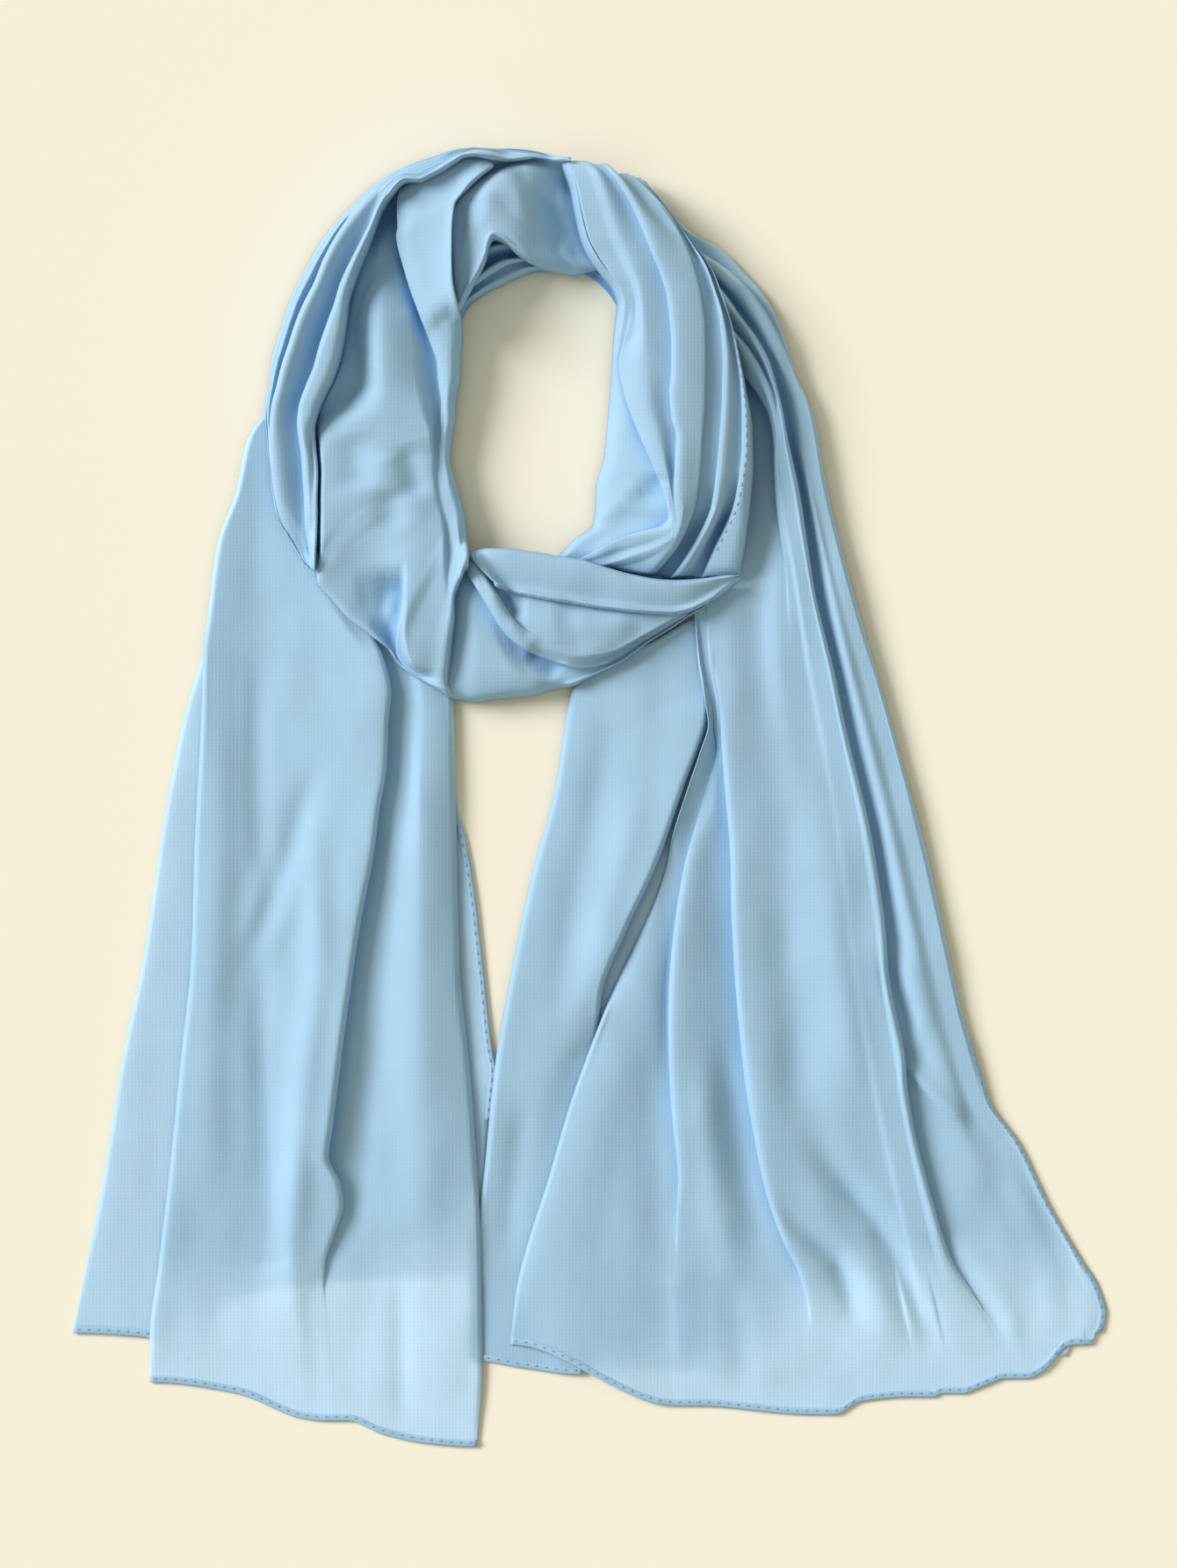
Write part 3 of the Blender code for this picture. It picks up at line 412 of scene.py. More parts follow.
def columns_between(sections, cell_across):
    """How many columns lie between each two knots."""
    widths = np.abs(np.diff(sections[:, :, 0], axis=1)).mean(axis=0)
    owner = sections[0, :, 3]
    return [FOLD_STEPS if owner[i] == owner[i + 1] else max(2, int(round(width / cell_across)))
            for i, width in enumerate(widths)]


def weave_row(plan, knots, parts, lines):
    """One row of points on the plan, with heights."""
    place, height, station, owner = knots.T
    run = np.concatenate([[0], np.cumsum(np.hypot(np.diff(place), np.diff(height)) + 0.05)])
    where = []
    puff = []
    for i, part in enumerate(parts):
        w = np.arange(part + (i == len(parts) - 1)) / part
        where.append(run[i] + w * (run[i + 1] - run[i]))
        swelling = lines[int(owner[i])][2] if owner[i] != owner[i + 1] else 0
        room = min(1.0, abs(place[i + 1] - place[i]) / SWELL_ROOM)
        puff.append(swelling * room * np.sin(math.pi * w))
    where = np.concatenate(where)
    x, y = plan.to_plan(smooth_through(run, station, where), smooth_through(run, place, where))
    return np.stack([x, y, smooth_through(run, height, where) + np.concatenate(puff)], axis=1)


def weave(plan, lines, cell):
    """Grid of points between the lines of a sheet, and the column that each line starts at."""
    cell_across, cell_along = cell
    routes = read_routes(plan, lines)
    rows = int(math.ceil(max(route[4] for route in routes) / cell_along)) + 1
    sections = cut_rows(routes, [line[1] for line in lines], rows)
    parts = columns_between(sections, cell_across)
    starts = np.concatenate([[0], np.cumsum(parts)])
    owner = list(sections[0, :, 3])
    columns = {line[0]: int(starts[owner.index(i)]) for i, line in enumerate(lines)}
    return np.array([weave_row(plan, knots, parts, lines) for knots in sections]), columns


test_lines = (("left", 0, 0, ((0, 0, 1), (0, -20, 1))), ("right", 0, 0, ((10, 0, 1), (10, -20, 1))))
print("a plain 10 x 20 mm sheet has the grid", weave(Hanging(), test_lines, (1.6, 2.2))[0].shape)

# %% [markdown]
# ## Creases
#
# Between its main lines cloth has soft ridges and troughs that fade at both ends. Each is a short route
# with a depth and a width. Some are soft on one side and crisp on the other, where the cloth is caught.

# %% Pressing a crease
CRISP = 1.5
FADE_SHARE = 0.3


def nearest_on(route, grid):
    """For each point of a grid: the gap to a route, how far along it, and whether it lies to the left."""
    best = np.full(grid.shape[:2], 1e9)
    where = np.zeros(grid.shape[:2])
    left = np.zeros(grid.shape[:2], bool)
    run = np.concatenate([[0], np.cumsum(np.hypot(*np.diff(route, axis=0).T))])
    for i, start in enumerate(route[:-1]):
        step = route[i + 1] - start
        x = grid[..., 0] - start[0]
        y = grid[..., 1] - start[1]
        t = np.clip((x * step[0] + y * step[1]) / (step @ step), 0, 1)
        gap = np.hypot(x - t * step[0], y - t * step[1])
        nearer = gap < best
        left = np.where(nearer, step[0] * y - step[1] * x > 0, left)
        where = np.where(nearer, (run[i] + t * (run[i + 1] - run[i])) / run[-1], where)
        best = np.minimum(best, gap)
    return best, where, left


def press(grid, depth, width, route, side=0):
    """A ridge (depth above 0) or trough (below 0). Side 1 or -1 is soft on the left or right side alone."""
    gap, where, left = nearest_on(np.array(route, float), grid)
    ends = np.clip(np.minimum(where, 1 - where) / FADE_SHARE, 0, 1)
    shape = np.exp(-((gap / width) ** 2))
    if side:
        shape = np.where(left != (side > 0), np.clip(1 - gap / CRISP, 0, 1), shape)
    grid[..., 2] += depth * ends * ends * (3 - 2 * ends) * shape


print("a crease fades over", FADE_SHARE, "of its length at each end")

# %% [markdown]
# ## Laying one sheet on another
#
# A square raster over the plan remembers the height of all the cloth laid so far. A new sheet is raised
# wherever it would sink into what lies below it. The raise is widened and softened first, so that a fold
# rises as one and keeps its shape. The raster also counts the layers, because the number of layers under
# chiffon is what makes it paler or deeper.

# %% Widening and softening a raster
def spread_most(values, rows, columns):
    """Every value becomes the largest within so many rows and columns of it."""
    wide = values.copy()
    for axis, reach in ((0, rows), (1, columns)):
        for _ in range(reach):
            before = np.roll(wide, 1, axis)
            after = np.roll(wide, -1, axis)
            edge = np.arange(wide.shape[axis])
            shape = (-1, 1) if axis == 0 else (1, -1)
            before = np.where((edge == 0).reshape(shape), wide, before)
            after = np.where((edge == edge[-1]).reshape(shape), wide, after)
            wide = np.maximum(wide, np.maximum(before, after))
    return wide


def softened(values, rounds):
    """Values averaged with their neighbours a few times."""
    for _ in range(rounds):
        for axis in (0, 1):
            padded = np.pad(values, [(1, 1) if k == axis else (0, 0) for k in (0, 1)], mode="edge")
            ahead = np.take(padded, range(2, padded.shape[axis]), axis)
            behind = np.take(padded, range(0, padded.shape[axis] - 2), axis)
            values = 0.5 * values + 0.25 * (ahead + behind)
    return values


print("a spike of 1 softened twice is", round(float(softened(np.eye(1, 5, 2), 2)[0, 2]), 3), "high")

# %% Filling in points
RASTER = 0.8
CELL_SHARE = 0.8


def filled(grid):
    """A grid with points filled in, close enough to touch every cell of the raster."""
    for axis in (0, 1):
        lengths = np.linalg.norm(np.diff(grid[..., :2], axis=axis), axis=-1)
        parts = int(math.ceil(lengths.max() / (CELL_SHARE * RASTER)))
        count = grid.shape[axis]
        places = np.linspace(0, count - 1, (count - 1) * parts + 1)
        low = np.minimum(places.astype(int), count - 2)
        share = places - low
        share = share[:, None, None] if axis == 0 else share[None, :, None]
        grid = np.take(grid, low, axis) * (1 - share) + np.take(grid, low + 1, axis) * share
    return grid


print("cells of", RASTER, "mm")

# %% The pile of cloth
REACH = 1.6
MARGIN = 30.0
LIFT_ROUNDS = 4


class Pile:
    """Height of the cloth laid down so far, and how many layers of it, over the plan."""

    def __init__(self):
        low = np.array(cad_low[:2]) / MM - MARGIN
        high = np.array(cad_high[:2]) / MM + MARGIN
        self.corner = low
        size = ((high - low) / RASTER).astype(int)
        self.top = np.zeros((size[1], size[0]))
        self.layers = np.zeros((size[1], size[0]))

    def cells(self, points):
        return (points[..., 1] - self.corner[1]) / RASTER, (points[..., 0] - self.corner[0]) / RASTER

    def read(self, raster, points):
        """Values of a raster at points, smooth between its cells."""
        row, column = self.cells(points)
        i = row.astype(int)
        j = column.astype(int)
        u = row - i
        v = column - j
        return (raster[i, j] * (1 - u) * (1 - v) + raster[i + 1, j] * u * (1 - v)
                + raster[i, j + 1] * (1 - u) * v + raster[i + 1, j + 1] * u * v)

    def add(self, grid, layers, ply_end=None):
        """Lays a sheet on the pile. Its hidden plies end softly along a route, if it has one."""
        fine = filled(grid)
        row, column = self.cells(fine)
        row = row.round().astype(int)
        column = column.round().astype(int)
        np.maximum.at(self.top, (row, column), fine[..., 2])
        share = np.ones(fine.shape[:2])
        if ply_end:
            route, fade = ply_end
            along, down = np.array(route).T
            share = np.clip((fine[..., 1] - np.interp(fine[..., 0], along, down)) / fade + 0.5, 0, 1)
        covered = np.zeros_like(self.layers)
        np.maximum.at(covered, (row, column), share)
        self.layers += layers * covered

    def lift(self, grid):
        """Raises a grid wherever its underside would meet what lies below it."""
        reach = int(round(REACH / RASTER))
        support = softened(spread_most(self.top, reach, reach), 2)
        below = self.read(support, grid)
        least = below + CLOTH_THICK + LAYER_GAP * np.clip(below, 0, 1)
        need = np.maximum(least - grid[..., 2], 0)
        need = softened(spread_most(need, 1, 3), LIFT_ROUNDS)
        grid[..., 2] = np.maximum(grid[..., 2] + need, least)


pile = Pile()
print("pile of", pile.top.shape, "cells")

# %% [markdown]
# ## Making a sheet
#
# The grid operator makes a flat grid with as many rows and columns as were woven, and its vertices are
# moved to the woven points. A Solidify modifier then gives the cloth its thickness, downwards, so that
# the woven points stay the side that shows.

# %% From points to a piece
def grid_mesh(points):
    """A mesh with one vertex for each point, its faces turned up."""
    rows, columns = points.shape[:2]
    bm = bmesh.new()
    bmesh.ops.create_grid(bm, x_segments=columns - 1, y_segments=rows - 1, size=1)
    for vertex, point in zip(bm.verts, points.reshape(-1, 3)):
        vertex.co = point * MM
    return bm


def add_piece(name, bm, material):
    """A smooth object at the origin that rides on the one solid body."""
    mesh = bpy.data.meshes.new(name)
    bm.to_mesh(mesh)
    bm.free()
    mesh.shade_smooth()
    mesh.materials.append(material)
    item = bpy.data.objects.new(name, mesh)
    bpy.context.scene.collection.objects.link(item)
    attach(item, "root")
    return item


def set_values(item, key, values):
    """A number for each vertex that the chiffon's nodes read by its name."""
    attribute = item.data.attributes.new(key, "FLOAT", "POINT")
    attribute.data.foreach_set("value", np.broadcast_to(values, len(item.data.vertices)).astype(float))


# %% One stretch of cloth
RIPPLE = 0.7
RIPPLE_ACROSS = 16.0
RIPPLE_ALONG = 34.0
RIPPLE_FADE = 4
FOLDED_CELL = (1.6, 2.2)
DEPTH_ROUNDS = 8
sheets = {}
columns_of = {}


def ripple(point):
    """A shallow unevenness, longer down the cloth than across it."""
    wave = noise.noise(Vector((point[0] / RIPPLE_ACROSS, point[1] / RIPPLE_ALONG, 7.0)))
    return RIPPLE * wave * min(1, point[2] / RIPPLE_FADE)


def lay_sheet(name, node, plan, lines, cell=FOLDED_CELL, layers=1, creases=(), end_roll=0, ply_end=None):
    """Weaves a sheet, presses its creases and lays it on the pile, for the solid named by node."""
    grid, columns_of[name] = weave(plan, lines, cell)
    for i in range(end_roll):
        grid[-1 - i, :, 2] *= math.sin(math.pi / 2 * i / end_roll) ** 0.5
    for crease in creases:
        press(grid, *crease)
    for point in grid.reshape(-1, 3):
        point[2] += ripple(point)
    grid += PLAN_SHIFT
    pile.lift(grid)
    bm = grid_mesh(grid)
    bmesh.ops.recalc_face_normals(bm, faces=bm.faces)
    if sum(face.normal.z for face in bm.faces) < 0:
        bmesh.ops.reverse_faces(bm, faces=bm.faces)
    item = add_piece(name, bm, chiffon)
    depth = pile.read(softened(pile.layers, DEPTH_ROUNDS), grid) + layers - 1
    set_values(item, "depth", np.clip(depth, 0, 1).reshape(-1))
    thick = item.modifiers.new("thickness", "SOLIDIFY")
    thick.thickness = CLOTH_THICK * MM
    thick.offset = -1
    if node:
        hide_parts(node)
    pile.add(grid, layers, ply_end)
    sheets[name] = grid
    print(name, grid.shape[0], "x", grid.shape[1], "points, top", round(grid[..., 2].max(), 1), "mm")


down = Hanging()
slanted = Hanging(shear=0.3)
print("cells of about", FOLDED_CELL, "mm")

# %% [markdown]
# ## The hidden layers of the loop
#
# Between the folds that show, the loop is several more layers of cloth. Nobody sees them, except as
# rounded edges deep in the folds, so they are one soft ring with four layered edges. A spin would make
# an even ring, but this one follows the loop, whose inner and outer edges are given by angle round the
# neck: (angle in degrees, inner radius, outer radius).

# %% Edges of the loop
RING_EDGES = (
    # angle, inner radius, outer radius
    (0, 35.5, 101.0),
    (45, 54.0, 114.0),
    (70, 63.0, 117.0),
    (90, 64.0, 122.0),
    (110, 66.0, 127.0),
    (135, 47.0, 128.0),
    (180, 35.5, 125.0),
    (215, 45.0, 125.0),
    (243, 66.0, 130.0),
    (270, 64.0, 131.0),
    (300, 60.0, 121.0),
    (320, 44.0, 119.0),
)
CORE_INSETS = (7.0, 15.0)


def ring_radii(angle):
    """The inner and outer radius of the hidden layers at an angle, smooth all the way round."""
    angles = [row[0] for row in RING_EDGES]
    around = [a - 360 for a in angles] + angles + [a + 360 for a in angles]
    inner = smooth_through(around, [row[1] for row in RING_EDGES] * 3, angle % 360)
    outer = smooth_through(around, [row[2] for row in RING_EDGES] * 3, angle % 360)
    return inner + CORE_INSETS[0], outer - CORE_INSETS[1]


print("hidden layers to the right of the neck:", ring_radii(0))

# %% One soft bulge for each hidden layer
CORE_HEIGHT = 8.0
CORE_ROWS = 120
CORE_LAYERS = 4
LAYER_INSET = 2.2
CORE_BEVEL = 0.6
CORE_WAVES = ((0.5, 7), (0.3, 17))


def core_profile():
    """Inset from an edge and height of each point, from the table up."""
    profile = [(CORE_BEVEL, 0.0), (0.0, CORE_BEVEL)]
    for layer in range(CORE_LAYERS):
        low = CORE_HEIGHT * layer / CORE_LAYERS
        high = CORE_HEIGHT * (layer + 1) / CORE_LAYERS
        inset = LAYER_INSET * layer
        profile.append((inset + 0.1, 0.5 * (low + high)))
        profile.append((inset + 0.9, high - 0.15))
        profile.append((inset + LAYER_INSET, high + 0.05 if layer < CORE_LAYERS - 1 else high))
    return profile


def core_row(angle):
    """The points of one section through the ring, closed."""
    inner, outer = ring_radii(angle)
    swell = sum(rise * math.sin(math.radians(waves * angle)) for rise, waves in CORE_WAVES)
    points = [(inner + inset, z) for inset, z in core_profile()]
    points += [(inner + share * (outer - inner), CORE_HEIGHT + swell) for share in (0.4, 0.5, 0.6)]
    points += [(outer - inset, z) for inset, z in reversed(core_profile())]
    points.append(points[0])
    turn = math.radians(angle)
    return [(NECK[0] + radius * math.cos(turn), NECK[1] + radius * math.sin(turn), z) for radius, z in points]


print("points of one section:", len(core_row(0)))

# %% Laying the hidden layers
core_grid = np.array([core_row(angle) for angle in np.linspace(0, 360, CORE_ROWS + 1)]) + PLAN_SHIFT
bm = grid_mesh(core_grid)
bmesh.ops.remove_doubles(bm, verts=bm.verts, dist=1e-6)
bmesh.ops.recalc_face_normals(bm, faces=bm.faces)
core = add_piece("loop_core", bm, chiffon)
set_values(core, "depth", 1.0)
# painted shade: these layers show only deep in the folds, so their colour takes the full shade tint
set_values(core, "fold_shade", 1.0)
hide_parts("ring_core")
pile.add(core_grid, 2)
print("loop_core", len(core.data.polygons), "faces")

# %% [markdown]
# ## Left end, under layer
#
# Each end of the scarf is folded lengthwise, so an under layer shows at its sides. It lies flat on the
# table. Its own plies fan out towards the hem, so over a soft line they stop and the cloth turns paler:
# PLY_END gives that line, as (x, y) points, and how wide the change is.

# %% Left end, under layer: lines
LEFT_TAIL_BACK = (
    # name, offset, swelling, ((x, y, height, low), ...)
    ("left_edge", 2.5, 0.3, (
        (-146, 188, 1.4, 3), (-157, 169, 1.3, 3), (-163, 143, 1.3, 3), (-171, 121, 1.3, 3),
        (-177, 82, 1.3, 3), (-189, 39, 1.3, 3), (-198, -6, 1.3, 3), (-209, -78, 1.3, 3),
        (-217, -116, 1.3, 2.6), (-228, -183, 1.3, 2.4), (-241, -249, 1.3, 1.4))),
    ("left_middle", 0, 0, (
        (-138, 150, 2), (-160, 60, 2), (-176, -60, 2), (-190, -160, 1.6), (-206, -251, 1.3))),
    ("inner_left", 0, 0, (
        (-131, 140, 2), (-152, 45, 2), (-164, -75, 2), (-174, -175, 1.6), (-187, -263, 1.3))),
    ("inner", 0, 0, (
        (-122, 125, 2), (-140, 30, 2), (-150, -85, 2), (-160, -170, 1.6), (-169, -236, 1.3))),
    ("middle", 0, 0, (
        (-108, 95, 2), (-120, 0, 1.6), (-130, -120, 1.4), (-138, -227, 1.3))),
    ("right_edge", 0, 0, (
        (-69.7, 64, 2), (-64, 20.5, 1.6), (-61.9, -4.1, 1.6), (-58.2, -18.9, 1.6), (-54.5, -40.2, 1.6),
        (-50, -77.9, 1.6), (-45.9, -116, 1.6), (-43.9, -127.9, 1.6), (-45.1, -139, 1.4),
        (-48.4, -180, 1.3), (-51.2, -221.8, 1.3))),
)
print(len(LEFT_TAIL_BACK), "lines")

# %% Left end, under layer: laid
LEFT_PLY_END = (((-260, -262), (-225, -258), (-205, -232), (-170, -222), (-94, -222), (-61, -205),
                 (-45, -197)), 80)

lay_sheet("left_end_back", "left_tail_back", down, LEFT_TAIL_BACK, (3.0, 4.0), layers=1.45,
          ply_end=LEFT_PLY_END)

# %% [markdown]
# ## Right end, under layer
#
# The right end leans out to the right, so its rows are cut on a slant: the shear lets lines that lean
# stay in order across the cloth.

# %% Right end, under layer: lines
RIGHT_TAIL_BACK = (
    # name, offset, swelling, ((x, y, height, low), ...)
    ("left_edge", 0, 0, (
        (53.3, 88.1, 2), (35.7, 20.1, 1.4), (12.3, -50, 1.4), (-6.1, -118.9, 1.4), (-11.5, -200.1, 1.3),
        (-11.1, -266.5, 1.3))),
    ("middle", 0, 0, ((75, 150, 2), (84, 0, 1.6), (80, -120, 1.5), (60, -267, 1.3))),
    ("right_edge", -2.5, 0, (
        (72.2, 239.8, 1.8, 2), (86.1, 226.7, 1.6, 2), (91.4, 212.4, 1.6, 2), (95.1, 199.3, 1.5, 2),
        (100.4, 187.8, 1.5, 2), (105, 176.3, 1.5, 2), (109.1, 152.1, 1.5, 2), (113.6, 132, 1.5, 2),
        (123.8, 93.5, 1.5, 2), (134.1, 57.8, 1.5, 2), (148, 8.2, 1.5, 2), (165.6, -64, 1.5, 2),
        (175.1, -105, 1.5, 2), (184.9, -139.8, 1.4, 2), (199.3, -161.1, 1.3, 1.4),
        (213.2, -189.8, 1.3, 1.4), (227.1, -217.3, 1.3, 1.4), (232.1, -237.8, 1.3, 1.4),
        (223.4, -260.3, 1.3, 1.4))),
)
print(len(RIGHT_TAIL_BACK), "lines")

# %% Right end, under layer: laid
RIGHT_PLY_END = (((-20, -266), (53, -266), (70, -262), (90, -238), (104, -224), (135, -219), (200, -217),
                  (240, -214)), 42)

lay_sheet("right_end_back", "right_tail_back", slanted, RIGHT_TAIL_BACK, (3.0, 4.0), ply_end=RIGHT_PLY_END)

# %% [markdown]
# ## Right end, left panel
#
# A folded panel comes out beneath the loop, left of the front, and ends in a deep slit along the front's
# edge. Its right side is a fold that rolls under.

# %% Right end, left panel: lines
RIGHT_TAIL_PANEL = (
    # name, offset, swelling, ((x, y, height, low), ...)
    ("left_edge", 2.5, 0, (
        (-3, 64, 3.2, 6), (-8, 51, 3, 6), (-16, 4, 3, 6), (-27, -37, 3, 6), (-36, -80, 3, 6),
        (-43, -119, 3, 5.5), (-46, -145, 2.6, 5), (-49, -175, 2, 4), (-51, -189, 1.6, 3),
        (-54, -225, 1.3, 1.8), (-54, -262, 1.3, 1.4))),
    ("swell", 0, 0, (
        (26, 72, 7), (24, 40, 7.5), (14, 0, 7.5), (0, -60, 7.5), (-14, -110, 6.5),
        (-28, -165, 3.5), (-32, -220, 1.8), (-32, -265, 1.3))),
    ("right_fold", -2.5, 0, (
        (59, 86.1, 3, 5), (58.6, 61.9, 3, 6), (56.2, 38.9, 5, 9), (44.7, 5.3, 6, 10),
        (32.4, -29.5, 6, 10), (17.2, -62.7, 6, 10), (6.6, -90.2, 4.5, 8), (4.5, -109.9, 2.5, 4),
        (1.6, -122.2, 1.6, 2.4), (-2.5, -170.1, 1.3, 1.5), (-2.5, -230, 1.3, 1.4),
        (-2.5, -268.1, 1.3, 1.4))),
)
print(len(RIGHT_TAIL_PANEL), "lines")

# %% Right end, left panel: creases
PANEL_CREASES = (
    # depth, width, ((x, y), ...), crisp side
    (-1.6, 8, ((12.3, 45.1), (2.5, -4.1), (-8.2, -57.4), (-17.2, -110.7)), 0),
    (1.5, 7, ((26.6, 20.5), (17.2, -20.5), (5.7, -61.5), (-6.1, -98.4)), 0),
    (-1.2, 6, ((-28.7, -131.2), (-34.9, -176.3), (-38.9, -221.4)), 0),
)
print(len(PANEL_CREASES), "creases")

# %% Right end, left panel: laid
lay_sheet("right_end_panel", "right_tail_panel", down, RIGHT_TAIL_PANEL, layers=2, creases=PANEL_CREASES)

# %% [markdown]
# ## Right end, front
#
# The widest stretch. It starts beneath the loop's right arm, where its folds are bunched, and fans out
# to the hem. Every line starts hidden under the arm. Long crisp folds run from there and fade out above
# the hem, and softer creases lie between them.

